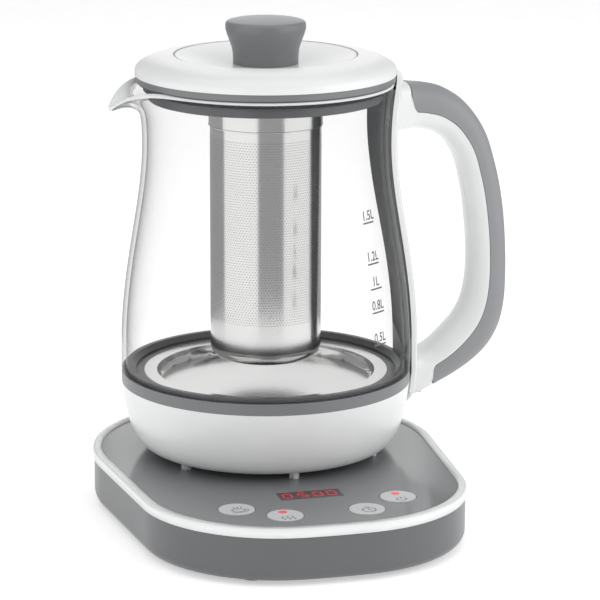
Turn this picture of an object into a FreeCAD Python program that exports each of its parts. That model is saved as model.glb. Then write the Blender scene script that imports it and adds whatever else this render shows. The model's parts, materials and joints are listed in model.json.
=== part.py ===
import FreeCAD, Part
import math
import os

import Sketcher

# An automatic tea maker: a glass kettle with a hanging tea infuser, on a flat base with a
# display and four buttons. The handle points to +X, the spout to -X and the controls to -Y.
# Lengths are millimetres. The origin is the middle of the footprint, on the table.

Vector = FreeCAD.Vector
UP = Vector(0, 0, 1)
CENTRE = Vector(0, 0, 0)

document = FreeCAD.newDocument("TeaMaker")
sheet = document.addObject("Spreadsheet::Sheet", "Sizes")

# Driving dimensions. A level is a height over the frame that its group names.
SIZES = {
    # Plan of the base, seen from the kettle's axis
    "base_half_width": 88.0,
    "base_back": 92.0,
    "base_front": 140.0,
    "base_corner_radius": 68.5,
    "base_corner_offset": 13.2,
    "base_front_radius": 274.0,
    # Levels and walls of the base, over the table
    "foot_gap": 2.0,
    "panel_level": 28.0,
    "panel_thickness": 2.0,
    "panel_clearance": 0.15,
    "rim_lift": 1.0,
    "rim_width": 4.0,
    "rim_height": 4.5,
    "rim_ledge": 4.0,
    "rim_edge_radius": 1.0,
    "housing_inset": 0.6,
    "housing_wall": 2.5,
    "housing_undercut": 5.0,
    "cover_inset": 8.0,
    "cover_clearance": 0.25,
    "cover_thickness": 2.4,
    "lip_width": 4.5,
    "lip_height": 2.6,
    "foot_radius": 7.0,
    "foot_recess": 0.6,
    "foot_inset": 20.0,
    "front_foot_x": 37.0,
    "back_foot_angle": 50.0,
    "boss_radius": 4.2,
    "boss_top": 17.0,
    "boss_inset": 15.0,
    "front_boss_angle": -31.0,
    "back_boss_angle": 21.0,
    "screw_radius": 1.5,
    "screw_head_radius": 3.0,
    "screw_head_height": 1.4,
    "screw_clearance": 0.2,
    "thread_clearance": 0.05,
    # Cord outlet at the back
    "outlet_level": 14.6,
    "outlet_bore": 3.6,
    "gland_radius": 6.0,
    "gland_flange_radius": 7.2,
    "gland_flange": 1.5,
    "gland_tail": 5.0,
    # Controls
    "button_radius": 8.85,
    "button_clearance": 0.25,
    "button_proud": 0.3,
    "button_flange": 1.2,
    "button_flange_height": 1.0,
    "button_travel": 0.8,
    "button_stem_radius": 2.0,
    "outer_button_x": 40.6,
    "outer_button_y": -99.6,
    "inner_button_x": 20.4,
    "inner_button_y": -114.7,
    "board_level": 13.0,
    "board_thickness": 1.6,
    "switch_size": 6.0,
    "switch_height": 3.4,
    "plunger_radius": 1.6,
    "plunger_height": 1.4,
    "plunger_clearance": 0.1,
    "display_width": 31.2,
    "display_depth": 11.4,
    "display_y": -85.3,
    "display_clearance": 0.15,
    "display_frame": 2.0,
    "board_half_width": 52.0,
    "board_back": -74.0,
    "board_front": -124.0,
    "board_corner": 20.0,
    "post_radius": 3.0,
    "post_x": 30.0,
    "post_back_inset": 6.0,
    "post_front_inset": 12.0,
    "power_post_inset": 8.0,
    "power_post_edge": 6.0,
    "power_board_width": 96.0,
    "power_board_depth": 34.0,
    "power_board_y": 44.0,
    "power_board_level": 8.0,
    # Round coupling between base and kettle
    "hub_flange_radius": 24.0,
    "hub_flange_height": 2.0,
    "hub_body_radius": 18.5,
    "hub_seat_level": 6.0,
    "hub_clearance": 0.2,
    "tower_inner_radius": 9.0,
    "tower_radius": 12.5,
    "tower_height": 11.0,
    "sleeve_wall": 0.8,
    "contact_pin_radius": 2.5,
    "contact_pin_height": 9.0,
    "contact_pin_root": 8.0,
    "coupling_clearance": 0.4,
    # Kettle, levels over the glossy panel that it stands on
    "peg_radius": 2.5,
    "peg_inset": 1.0,
    "bowl_level": 3.0,
    "bowl_draw": 16.7,
    "bowl_wall": 2.5,
    "bowl_corner_reach": 10.0,
    "bowl_side_inset": 2.5,
    "bowl_side_rise": 12.0,
    "ring_level": 37.2,
    "ring_radius": 73.7,
    "ring_height": 5.9,
    "ring_ledge": 1.2,
    "ledge_clearance": 0.8,
    "seal_width": 5.2,
    "seal_rise": 2.2,
    "gasket_width": 4.2,
    "plate_flange": 5.6,
    "plate_depth": 5.5,
    "plate_thickness": 0.8,
    "plate_corner": 2.0,
    "gasket_height": 3.6,
    "stud_inset": 7.4,
    "stud_radius": 3.2,
    "stud_bore": 1.25,
    "kettle_boss_radius": 4.4,
    "kettle_boss_height": 18.0,
    "kettle_screw_recess": 5.0,
    "kettle_screw_length": 22.0,
    "spreader_gap": 1.8,
    "spreader_thickness": 2.5,
    "element_inset": 10.0,
    "element_radius": 3.25,
    "element_sweep": 300.0,
    "element_tail": 9.0,
    "sensor_radius": 3.0,
    "sensor_clearance": 0.3,
    "cutout_radius": 7.0,
    "cutout_height": 7.0,
    "coupling_radius": 21.8,
    "coupling_flange_radius": 27.0,
    "coupling_flange_height": 2.5,
    "coupling_top": 20.0,
    "coupling_hole_clearance": 0.3,
    # Glass, levels over the panel
    "glass_wall": 2.4,
    "glass_overhang": 0.1,
    "glass_belly_draw": 0.3,
    "glass_belly_level": 63.0,
    "glass_slope_draw": 3.8,
    "glass_slope_level": 98.0,
    "glass_shoulder_draw": 8.5,
    "glass_shoulder_level": 127.0,
    "neck_draw": 2.4,
    "neck_level": 157.0,
    "glass_rim_level": 190.6,
    "spout_overhang": 15.4,
    "spout_tip_drop": 9.0,
    "spout_tip_depth": 3.0,
    "spout_tip_half_width": 5.0,
    "spout_root_half_width": 38.0,
    "spout_root_depth": 36.0,
    # Handle, radii from the kettle's axis and levels over the panel
    "handle_reach": 128.6,
    "handle_reach_level": 78.0,
    "handle_top_level": 186.0,
    "handle_bottom_level": 24.0,
    "handle_width": 27.0,
    "handle_depth": 23.2,
    "grip_depth": 8.8,
    "grip_top_depth": 15.5,
    "handle_edge_radius": 5.0,
    "strip_gap": 0.1,
    "backing_thickness": 1.0,
    "strip_thickness": 3.0,
    "strip_half_width": 22.0,
    "strip_foot_half_width": 16.0,
    "strip_top_level": 193.8,
    "backing_top_level": 187.0,
    "strip_tail_level": 17.0,
    "handle_screw_level": 27.0,
    "handle_screw_spacing": 15.0,
    "handle_screw_seat": 2.9,
    "handle_screw_pad": 2.0,
    "handle_foot_reach": 6.5,
    "handle_foot_drop": 0.5,
    "opening_margin": 3.0,
    "opening_drop": 22.0,
    "opening_foot_reach": 9.5,
    "opening_foot_rise": 25.1,
    "opening_strip_cover": 0.5,
    "handle_screw_length": 14.0,
    # Lid, levels over the rim of the glass
    "lid_gap": 0.9,
    "lid_overhang": 1.0,
    "lid_flange_inset": 0.4,
    "lid_flange_height": 3.2,
    "lid_deck_thickness": 1.8,
    "skirt_gap": 3.2,
    "skirt_wall": 2.2,
    "skirt_depth": 9.4,
    "pour_notch_half_width": 17.0,
    "pour_notch_height": 7.0,
    "lid_seal_depth": 6.0,
    "lid_seal_clearance": 0.4,
    "lid_seal_squeeze": 0.6,
    "lid_seal_lip": 1.2,
    "lid_radius": 65.6,
    "lid_edge_height": 1.8,
    "lid_crown_level": 13.8,
    "lid_wall": 2.2,
    "lid_edge_draw": 0.2,
    "lid_brow_drop": 3.6,
    "lid_shoulder_inset": 8.6,
    "lid_shoulder_drop": 1.2,
    "crown_width": 19.6,
    "dish_gap": 0.3,
    "dish_flange_drop": 0.8,
    "dish_flange_width": 4.0,
    "dish_floor_level": 9.2,
    "dish_floor_radius": 22.0,
    "dish_wall": 2.0,
    "knob_base_radius": 16.2,
    "knob_radius": 20.2,
    "knob_height": 21.2,
    "knob_dome": 1.7,
    "knob_waist_height": 3.0,
    "knob_screw_depth": 12.0,
    "lid_boss_radius": 8.0,
    # Infuser and its bayonet socket
    "infuser_radius": 28.15,
    "infuser_wall": 0.6,
    "infuser_length": 136.6,
    "infuser_corner": 6.5,
    "collar_wall": 0.7,
    "collar_length": 17.0,
    "socket_clearance": 0.3,
    "socket_wall": 3.2,
    "socket_depth": 9.0,
    "lug_rise": 1.4,
    "lug_height": 1.8,
    "lug_half_angle": 6.0,
    "lug_drop": 5.0,
    "lug_clearance": 0.3,
    "bayonet_turn": 30.0,
}

for row, (name, number) in enumerate(SIZES.items(), start=1):
    sheet.set("A%d" % row, name)
    sheet.set("B%d" % row, str(number))
    sheet.setAlias("B%d" % row, name)
document.recompute()


class Length(float):
    """A number from the sheet that also carries the formula it came from."""

    def __new__(cls, value, formula):
        length = float.__new__(cls, value)
        length.formula = formula
        return length

    def joined(self, other, value, sign, swapped=False):
        pair = (formula_of(other), self.formula) if swapped else (self.formula, formula_of(other))
        return Length(value, "(%s %s %s)" % (pair[0], sign, pair[1]))

    def __add__(self, other):
        return self.joined(other, float(self) + float(other), "+")

    def __radd__(self, other):
        return self.joined(other, float(other) + float(self), "+", swapped=True)

    def __sub__(self, other):
        return self.joined(other, float(self) - float(other), "-")

    def __rsub__(self, other):
        return self.joined(other, float(other) - float(self), "-", swapped=True)

    def __mul__(self, other):
        return self.joined(other, float(self) * float(other), "*")

    def __rmul__(self, other):
        return self.joined(other, float(other) * float(self), "*", swapped=True)

    def __truediv__(self, other):
        return self.joined(other, float(self) / float(other), "/")

    def __neg__(self):
        return 0 - self


def formula_of(number):
    """The text that an expression uses for a length or a plain number."""
    return number.formula if isinstance(number, Length) else repr(float(number))


class Cells:
    """Reads a cell of the sheet by its alias."""

    def __getattr__(self, alias):
        return Length(float(sheet.get(alias)), "Sizes." + alias)


size = Cells()
nodes = []

# The kettle's axis lies off the middle of the footprint, because the handle reaches further
# to the right than the base does to the left, and the controls stand in front of the kettle.
axis_x = (size.base_half_width - size.handle_reach) / 2
axis_y = (size.base_front - size.base_back) / 2

# Levels of the frames in which the groups are drawn, and the kettle's axis
TABLE = Length(0.0, "0")
AXIS = Length(0.0, "0")
PANEL = size.panel_level
GLASS_RIM = size.panel_level + size.glass_rim_level

# Radii that follow the clamp ring
glass_foot_radius = size.ring_radius + size.glass_overhang
glass_belly_radius = glass_foot_radius - size.glass_belly_draw
glass_slope_radius = glass_foot_radius - size.glass_slope_draw
glass_shoulder_radius = glass_foot_radius - size.glass_shoulder_draw
bowl_floor_radius = size.ring_radius - size.bowl_draw
peg_circle = bowl_floor_radius - size.peg_inset
plate_radius = glass_foot_radius - size.glass_wall - size.seal_width - size.gasket_width
plate_pan_radius = plate_radius - size.plate_flange
ring_ledge_radius = plate_pan_radius + size.ledge_clearance
stud_circle = plate_pan_radius - size.stud_inset
spreader_radius = stud_circle - size.stud_radius - size.spreader_gap
element_circle = spreader_radius - size.element_inset

# Radii that follow the lid
glass_rim_radius = size.lid_radius - size.lid_overhang
neck_radius = glass_rim_radius - size.neck_draw
spout_reach = glass_rim_radius + size.spout_overhang
lid_flange_radius = size.lid_radius - size.lid_flange_inset
skirt_radius = glass_rim_radius - size.glass_wall - size.skirt_gap
dish_radius = size.lid_radius - size.crown_width


def bind(thing, prop, length):
    """Ties one property of an object to the sheet."""
    thing.setExpression(prop, formula_of(length))


def settle(thing, label, level, x=0.0, y=0.0):
    """Names a sub-part and places it from the kettle's axis and its group's level."""
    thing.Label = label
    bind(thing, "Placement.Base.x", axis_x + x)
    bind(thing, "Placement.Base.y", axis_y + y)
    bind(thing, "Placement.Base.z", level)
    nodes.append(thing)
    return thing


def shaped(label, shape, level):
    """A sub-part whose form is worked out with curves and booleans."""
    thing = document.addObject("Part::Feature", label)
    thing.Shape = shape
    return settle(thing, label, level)


def turned(label, corners, level, x=0.0, y=0.0):
    """A sub-part turned on a lathe: its outline is (radius, height) corners tied to the sheet."""
    body = document.addObject("PartDesign::Body", label)
    sketch = body.newObject("Sketcher::SketchObject", label + "_outline")
    plane = [item for item in body.Origin.OriginFeatures if item.Role == "XZ_Plane"][0]
    sketch.AttachmentSupport = [(plane, "")]
    sketch.MapMode = "FlatFace"
    points = [Vector(float(radius), float(height), 0) for radius, height in corners]
    for index, start in enumerate(points):
        sketch.addGeometry(Part.LineSegment(start, points[(index + 1) % len(points)]))
    for index, (radius, height) in enumerate(corners):
        after = (index + 1) % len(points)
        sketch.addConstraint(Sketcher.Constraint("Coincident", index, 2, after, 1))
        across = sketch.addConstraint(Sketcher.Constraint("DistanceX", -1, 1, index, 1, float(radius)))
        along = sketch.addConstraint(Sketcher.Constraint("DistanceY", -1, 1, index, 1, float(height)))
        bind(sketch, "Constraints[%d]" % across, radius)
        bind(sketch, "Constraints[%d]" % along, height)
    revolution = body.newObject("PartDesign::Revolution", label + "_turn")
    revolution.Profile = sketch
    revolution.ReferenceAxis = (sketch, ["V_Axis"])
    revolution.Angle = 360
    body.Tip = revolution
    return settle(body, label, level, x, y)


def box(name, length, width, height, x, y, z):
    """A block centred on x and y, standing on z, with every size tied to the sheet."""
    block = document.addObject("Part::Box", name)
    bind(block, "Length", length)
    bind(block, "Width", width)
    bind(block, "Height", height)
    bind(block, "Placement.Base.x", x - length / 2)
    bind(block, "Placement.Base.y", y - width / 2)
    bind(block, "Placement.Base.z", z)
    return block


def rod(name, radius, height, x, y, z):
    """An upright cylinder standing on z, with every size tied to the sheet."""
    cylinder = document.addObject("Part::Cylinder", name)
    bind(cylinder, "Radius", radius)
    bind(cylinder, "Height", height)
    bind(cylinder, "Placement.Base.x", x)
    bind(cylinder, "Placement.Base.y", y)
    bind(cylinder, "Placement.Base.z", z)
    return cylinder


def joined(label, pieces, level):
    """One solid fused from primitives."""
    fusion = document.addObject("Part::MultiFuse", label)
    fusion.Shapes = pieces
    fusion.Refine = True
    return settle(fusion, label, level)


def gathered(label, pieces, level):
    """Several separate solids of one kind in one sub-part."""
    group = document.addObject("Part::Compound", label)
    group.Links = pieces
    return settle(group, label, level)


def drum(radius, low, high, x=0.0, y=0.0):
    """A plain upright cylinder between two levels."""
    return Part.makeCylinder(radius, high - low, Vector(x, y, low), UP)


def slab(outline, low, high):
    """An outline in plan, thickened between two levels."""
    raised = outline.copy()
    raised.translate(Vector(0, 0, low))
    return Part.Face(raised).extrude(Vector(0, 0, high - low))


def lathed(edges):
    """A closed chain of edges in the XZ plane, turned about the axis."""
    profile = Part.Face(Part.Wire(Part.__sortEdges__(edges)))
    return profile.revolve(CENTRE, UP, 360)


def path(points):
    """Straight edges through (radius, height) points in the XZ plane."""
    spots = [Vector(radius, 0, height) for radius, height in points]
    return [Part.makeLine(start, end) for start, end in zip(spots, spots[1:])]


def smooth(points, start=None, end=None):
    """One smooth edge through (radius, height) points, with the directions at its two ends."""
    spots = [Vector(radius, 0, height) for radius, height in points]
    curve = Part.BSplineCurve()
    if start is None:
        curve.interpolate(spots)
    else:
        first = Vector(start[0], 0, start[1])
        last = Vector(end[0], 0, end[1])
        curve.interpolate(Points=spots, InitialTangent=first, FinalTangent=last)
    return curve.toShape()


def mirrored_pairs(pairs):
    """Each (x, y) place together with its twin on the other side of the middle."""
    return [(side * x, y) for x, y in pairs for side in (-1, 1)]


# Plan of the base

def tangent_normal(run, difference):
    """The outward normal, on the +X side, of the line that touches two circles."""
    length = run.Length
    along = Vector(run).multiply(difference / length ** 2)
    across = Vector(-run.y, run.x, 0).normalize()
    return along + across * math.sqrt(1 - (difference / length) ** 2)


def swung(spot, radius, angle):
    """The place at a radius and an angle in degrees round a spot in plan."""
    way = (formula_of(radius), formula_of(angle))
    across = Length(radius * math.cos(math.radians(angle)), "(%s * cos(%s))" % way)
    along = Length(radius * math.sin(math.radians(angle)), "(%s * sin(%s))" % way)
    return spot[0] + across, spot[1] + along


def other_side(slant, side):
    """The third side of a right triangle, from its slant and one side."""
    formula = "sqrt(%s ^ 2 - %s ^ 2)" % (formula_of(slant), formula_of(side))
    return Length(math.sqrt(float(slant) ** 2 - float(side) ** 2), formula)


# Centres of the round back, of the bowed front and of the right-hand corner
rear_spot = (AXIS, size.base_back - size.base_half_width)
front_spot = (AXIS, size.base_front_radius - size.base_front)
corner_swing = size.base_front_radius - size.base_corner_radius
corner_spot = (
    size.base_corner_offset,
    front_spot[1] - other_side(corner_swing, size.base_corner_offset),
)


def base_outline(inset):
    """The base's outline, drawn in: a round back, leaning sides, round corners, a bowed front."""
    back = size.base_half_width - inset
    corner = size.base_corner_radius - inset
    front = size.base_front_radius - inset
    rear_centre = Vector(*rear_spot, 0)
    front_centre = Vector(*front_spot, 0)
    corner_centre = Vector(*corner_spot, 0)
    side = tangent_normal(corner_centre - rear_centre, float(back - corner))
    bow = (corner_centre - front_centre).normalize()
    right = [
        rear_centre + side * back,
        corner_centre + side * corner,
        corner_centre + (side + bow).normalize() * corner,
        corner_centre + bow * corner,
    ]
    left = [Vector(-spot.x, spot.y, 0) for spot in right]
    return Part.Wire([
        Part.Arc(left[0], rear_centre + Vector(0, back, 0), right[0]).toShape(),
        Part.makeLine(right[0], right[1]),
        Part.Arc(right[1], right[2], right[3]).toShape(),
        Part.Arc(right[3], front_centre - Vector(0, front, 0), left[3]).toShape(),
        Part.Arc(left[3], left[2], left[1]).toShape(),
        Part.makeLine(left[1], left[0]),
    ])


def edges_at(shape, level):
    """The edges of a shape that lie flat at one level."""
    return [
        edge for edge in shape.Edges
        if abs(edge.BoundBox.ZMin - level) < 1e-4 and abs(edge.BoundBox.ZMax - level) < 1e-4
    ]


def outer_edges_at(shape, level):
    """Of the flat edges at one level, those of the longest ring."""
    rings = Part.sortEdges(edges_at(shape, level))
    longest = max(rings, key=lambda ring: sum(edge.Length for edge in ring))
    return [edge for edge in shape.Edges if any(edge.isSame(other) for other in longest)]


# Base, drawn over the table

rim_bottom = size.panel_level + size.rim_lift - size.rim_height
rim_top = size.panel_level + size.rim_lift
panel_bottom = size.panel_level - size.panel_thickness
cover_top = size.foot_gap + size.cover_thickness
board_top = size.board_level + size.board_thickness
wall_inset = size.housing_inset + size.housing_wall
boss_places = mirrored_pairs([
    swung(corner_spot, size.base_corner_radius - size.boss_inset, size.front_boss_angle),
    swung(rear_spot, size.base_half_width - size.boss_inset, size.back_boss_angle),
])
button_places = [
    (-size.outer_button_x, size.outer_button_y),
    (-size.inner_button_x, size.inner_button_y),
    (size.inner_button_x, size.inner_button_y),
    (size.outer_button_x, size.outer_button_y),
]


def base_housing():
    """The grey wall: undercut at the table, lipped for the cover, with bosses for its screws."""
    skin = slab(base_outline(size.housing_inset), size.foot_gap, rim_bottom)
    skin = skin.makeFillet(size.housing_undercut, edges_at(skin, size.foot_gap))
    lip_top = cover_top + size.lip_height
    skin = skin.cut(slab(base_outline(size.cover_inset), size.foot_gap, cover_top))
    skin = skin.cut(slab(base_outline(size.cover_inset + size.lip_width), cover_top, lip_top))
    skin = skin.cut(slab(base_outline(wall_inset), lip_top, rim_bottom))
    inside = slab(base_outline(wall_inset / 2), cover_top, rim_bottom)
    for x, y in boss_places:
        skin = skin.fuse(drum(size.boss_radius, cover_top, size.boss_top, x, y).common(inside))
    for x, y in boss_places:
        skin = skin.cut(drum(size.screw_radius, cover_top, size.boss_top, x, y))
    hole_start = Vector(0, size.base_back - size.housing_undercut * 2, size.outlet_level)
    hole = Part.makeCylinder(size.gland_radius, size.housing_undercut * 3, hole_start, Vector(0, 1, 0))
    return skin.cut(hole)


def base_rim():
    """The white rim: a rounded band, a ledge that the panel lies on, a tongue inside the wall."""
    band = slab(base_outline(0), rim_bottom, rim_top)
    band = band.cut(slab(base_outline(size.rim_width), panel_bottom, rim_top))
    band = band.makeFillet(size.rim_edge_radius, outer_edges_at(band, rim_top))
    band = band.cut(slab(base_outline(size.rim_width + size.rim_ledge), rim_bottom, panel_bottom))
    tongue_bottom = rim_bottom - size.housing_wall
    tongue_inset = wall_inset + size.panel_clearance
    tongue = slab(base_outline(tongue_inset), tongue_bottom, rim_bottom)
    tongue = tongue.cut(slab(base_outline(tongue_inset + size.rim_edge_radius), tongue_bottom, rim_bottom))
    return band.fuse(tongue)


def base_panel():
    """The glossy panel, with holes for the coupling, the buttons and the display."""
    panel = slab(base_outline(size.rim_width + size.panel_clearance), panel_bottom, size.panel_level)
    panel = panel.cut(drum(size.hub_flange_radius + size.hub_clearance, panel_bottom, size.panel_level))
    for x, y in button_places:
        hole = drum(size.button_radius + size.button_clearance, panel_bottom, size.panel_level, x, y)
        panel = panel.cut(hole)
    width = size.display_width + 2 * size.display_clearance
    depth = size.display_depth + 2 * size.display_clearance
    corner = Vector(-width / 2, size.display_y - depth / 2, panel_bottom)
    return panel.cut(Part.makeBox(width, depth, size.panel_thickness, corner))


post_places = mirrored_pairs([
    (size.post_x, size.board_back - size.post_back_inset),
    (size.post_x, size.board_front + size.post_front_inset),
])
power_post_x = size.power_board_width / 2 - size.power_post_inset
power_post_reach = size.power_board_depth / 2 - size.power_post_edge
power_post_places = mirrored_pairs([
    (power_post_x, size.power_board_y - power_post_reach),
    (power_post_x, size.power_board_y + power_post_reach),
])
front_foot_reach = other_side(size.base_front_radius - size.foot_inset, size.front_foot_x)
foot_places = mirrored_pairs([
    (size.front_foot_x, front_spot[1] - front_foot_reach),
    swung(rear_spot, size.base_half_width - size.foot_inset, size.back_foot_angle),
])


def bottom_cover():
    """The flat cover under the base, with posts for the boards and a ring under the coupling."""
    cover = slab(base_outline(size.cover_inset + size.cover_clearance), size.foot_gap, cover_top)
    ring = drum(size.hub_body_radius, cover_top, size.hub_seat_level)
    cover = cover.fuse(ring.cut(drum(size.tower_radius, cover_top, size.hub_seat_level)))
    for x, y in post_places:
        cover = cover.fuse(drum(size.post_radius, cover_top, size.board_level, x, y))
    for x, y in power_post_places:
        cover = cover.fuse(drum(size.post_radius, cover_top, size.power_board_level, x, y))
    head_top = size.foot_gap + size.screw_head_height
    for x, y in boss_places:
        head = drum(size.screw_head_radius + size.screw_clearance, size.foot_gap, head_top, x, y)
        shank = drum(size.screw_radius + size.screw_clearance, head_top, cover_top, x, y)
        cover = cover.cut(head.fuse(shank))
    for x, y in foot_places:
        seat = drum(size.foot_radius, size.foot_gap, size.foot_gap + size.foot_recess, x, y)
        cover = cover.cut(seat)
    return cover


def screw(radius, head_radius, head_bottom, head_top, tip):
    """A pan-head screw pointing up, with a coned tip."""
    shank = Part.makeCylinder(radius, tip - radius - head_top, Vector(0, 0, head_top), UP)
    cone = Part.makeCone(radius, radius / 3, radius, Vector(0, 0, tip - radius), UP)
    head = Part.makeCylinder(head_radius, head_top - head_bottom, Vector(0, 0, head_bottom), UP)
    return head.fuse([shank, cone]).removeSplitter()


def base_screws():
    """Four screws that hold the cover to the housing."""
    head_bottom = size.foot_gap + size.screw_clearance
    head_top = size.foot_gap + size.screw_head_height
    tip = size.boss_top - size.screw_clearance
    radius = size.screw_radius - size.thread_clearance
    single = screw(radius, size.screw_head_radius, head_bottom, head_top, tip)
    return Part.makeCompound([single.translated(Vector(x, y, 0)) for x, y in boss_places])


def cord_gland():
    """The collar in the back wall that guides the cord's way in."""
    back = size.base_back - size.housing_inset
    start = Vector(0, back - size.housing_wall - size.gland_tail, size.outlet_level)
    back_way = Vector(0, 1, 0)
    length = size.gland_tail + size.housing_wall + size.gland_flange
    body = Part.makeCylinder(size.gland_radius - size.panel_clearance, length, start, back_way)
    inner = Vector(0, back - size.housing_wall - size.gland_flange - size.gland_flange / 2, size.outlet_level)
    collar = Part.makeCylinder(size.gland_flange_radius, size.gland_flange, inner, back_way)
    wall_side = slab(base_outline(wall_inset + size.panel_clearance), size.foot_gap, rim_bottom)
    flush = slab(base_outline(size.housing_inset), size.foot_gap, rim_bottom)
    gland = body.common(flush).fuse(collar.common(wall_side))
    return gland.cut(Part.makeCylinder(size.outlet_bore, length * 2, start, back_way))


def control_board():
    """The board under the controls, with its front corners cut off."""
    half = float(size.board_half_width)
    back = float(size.board_back)
    front = float(size.board_front)
    cut = float(size.board_corner)
    corners = [(-half, back), (half, back), (half, front + cut), (half - cut, front)]
    corners += [(cut - half, front), (-half, front + cut), (-half, back)]
    outline = Part.makePolygon([Vector(x, y, 0) for x, y in corners])
    return slab(outline, size.board_level, board_top)


shaped("base_housing", base_housing(), TABLE)
shaped("base_rim", base_rim(), TABLE)
shaped("base_panel", base_panel(), TABLE)
shaped("bottom_cover", bottom_cover(), TABLE)
shaped("base_screws", base_screws(), TABLE)
shaped("cord_gland", cord_gland(), TABLE)
shaped("control_board", control_board(), TABLE)

foot_height = size.foot_gap + size.foot_recess
gathered("base_feet", [
    rod("foot_%d" % number, size.foot_radius, foot_height, x, y, TABLE)
    for number, (x, y) in enumerate(foot_places, start=1)
], TABLE)

plunger_top = board_top + size.switch_height + size.plunger_height
stem_bottom = plunger_top + size.button_travel + size.plunger_clearance
button_top = size.panel_level + size.button_proud
flange_top = panel_bottom - size.button_clearance / 2
for number, (x, y) in enumerate(button_places, start=1):
    turned("button_%d" % number, [
        (AXIS, stem_bottom),
        (size.button_stem_radius, stem_bottom),
        (size.button_stem_radius, flange_top - size.button_flange_height),
        (size.button_radius + size.button_flange, flange_top - size.button_flange_height),
        (size.button_radius + size.button_flange, flange_top),
        (size.button_radius, flange_top),
        (size.button_radius, button_top - size.button_clearance),
        (size.button_radius - size.button_clearance, button_top),
        (AXIS, button_top),
    ], TABLE, x, y)

for number, (x, y) in enumerate(button_places, start=1):
    joined("switch_%d" % number, [
        box("switch_body_%d" % number, size.switch_size, size.switch_size, size.switch_height,
            x, y, board_top),
        rod("plunger_%d" % number, size.plunger_radius, size.plunger_height, x, y,
            board_top + size.switch_height),
    ], TABLE)

display_bottom = board_top
gathered("display_module", [
    box("display_case", size.display_width + size.display_frame, size.display_depth + size.display_frame,
        panel_bottom - display_bottom, AXIS, size.display_y, display_bottom),
], TABLE)
gathered("display_lens", [
    box("lens_pane", size.display_width, size.display_depth, size.panel_thickness,
        AXIS, size.display_y, panel_bottom),
], TABLE)
joined("power_board", [
    box("power_laminate", size.power_board_width, size.power_board_depth, size.board_thickness,
        AXIS, size.power_board_y, size.power_board_level),
    box("relay", size.switch_size * 3, size.switch_size * 2, size.switch_height * 2.5,
        size.power_board_width / -4, size.power_board_y, size.power_board_level + size.board_thickness),
    box("terminal_block", size.switch_size * 4, size.switch_size * 1.5, size.switch_height * 2,
        size.power_board_width / 4, size.power_board_y, size.power_board_level + size.board_thickness),
], TABLE)

hub_top = size.panel_level
tower_top = size.panel_level + size.tower_height
turned("contact_hub", [
    (size.contact_pin_radius, size.hub_seat_level),
    (size.hub_body_radius, size.hub_seat_level),
    (size.hub_body_radius, hub_top - size.hub_flange_height),
    (size.hub_flange_radius, hub_top - size.hub_flange_height),
    (size.hub_flange_radius, hub_top),
    (size.tower_radius, hub_top),
    (size.tower_radius, tower_top),
    (size.tower_inner_radius, tower_top),
    (size.tower_inner_radius, hub_top),
    (size.contact_pin_radius, hub_top),
], TABLE)
turned("earth_sleeve", [
    (size.tower_radius, hub_top),
    (size.tower_radius + size.sleeve_wall, hub_top),
    (size.tower_radius + size.sleeve_wall, tower_top),
    (size.tower_radius, tower_top),
], TABLE)
turned("contact_pin", [
    (AXIS, hub_top - size.contact_pin_root),
    (size.contact_pin_radius, hub_top - size.contact_pin_root),
    (size.contact_pin_radius, hub_top + size.contact_pin_height - size.contact_pin_radius),
    (size.contact_pin_radius / 2, hub_top + size.contact_pin_height),
    (AXIS, hub_top + size.contact_pin_height),
], TABLE)

# Lower kettle, drawn over the panel

bowl_top = size.ring_level
bowl_floor_top = size.bowl_level + size.bowl_wall
ring_top = size.ring_level + size.ring_height
ledge_top = size.ring_level + size.ring_ledge
glass_inner_foot = glass_foot_radius - size.glass_wall
flange_level = ledge_top + size.gasket_height
pan_bottom = flange_level - size.plate_depth - size.plate_thickness
spreader_bottom = pan_bottom - size.spreader_thickness


def turned_places(circle, count, first):
    """Places spread evenly on a circle about the axis, from a first angle in degrees."""
    angles = [math.radians(first + 360 * index / count) for index in range(count)]
    return [(circle * math.cos(angle), circle * math.sin(angle)) for angle in angles]


stud_places = turned_places(float(stud_circle), 3, 30)
peg_places = turned_places(float(peg_circle), 6, -90)
handle_screw_sides = [-size.handle_screw_spacing / 2, size.handle_screw_spacing / 2]
handle_screw_head = size.ring_radius - size.bowl_wall - size.handle_screw_seat
handle_screw_tip = handle_screw_head + size.handle_screw_length


def handle_screw_way(radius, start, end, y):
    """A rod that runs outward from inside the bowl into the handle's foot."""
    return Part.makeCylinder(radius, end - start, Vector(start, y, size.handle_screw_level), Vector(1, 0, 0))


def bowl_side(inset, floor):
    """The bowl's side as one curve, from its floor up to the clamp ring."""
    foot = bowl_floor_radius
    top_radius = size.ring_radius - inset
    curve = Part.BezierCurve()
    curve.setPoles([
        Vector(foot, 0, floor),
        Vector(foot + size.bowl_corner_reach - inset / 2, 0, floor),
        Vector(top_radius - size.bowl_side_inset, 0, size.bowl_level + size.bowl_side_rise + inset / 3),
        Vector(top_radius, 0, bowl_top),
    ])
    return curve.toShape()


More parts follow.
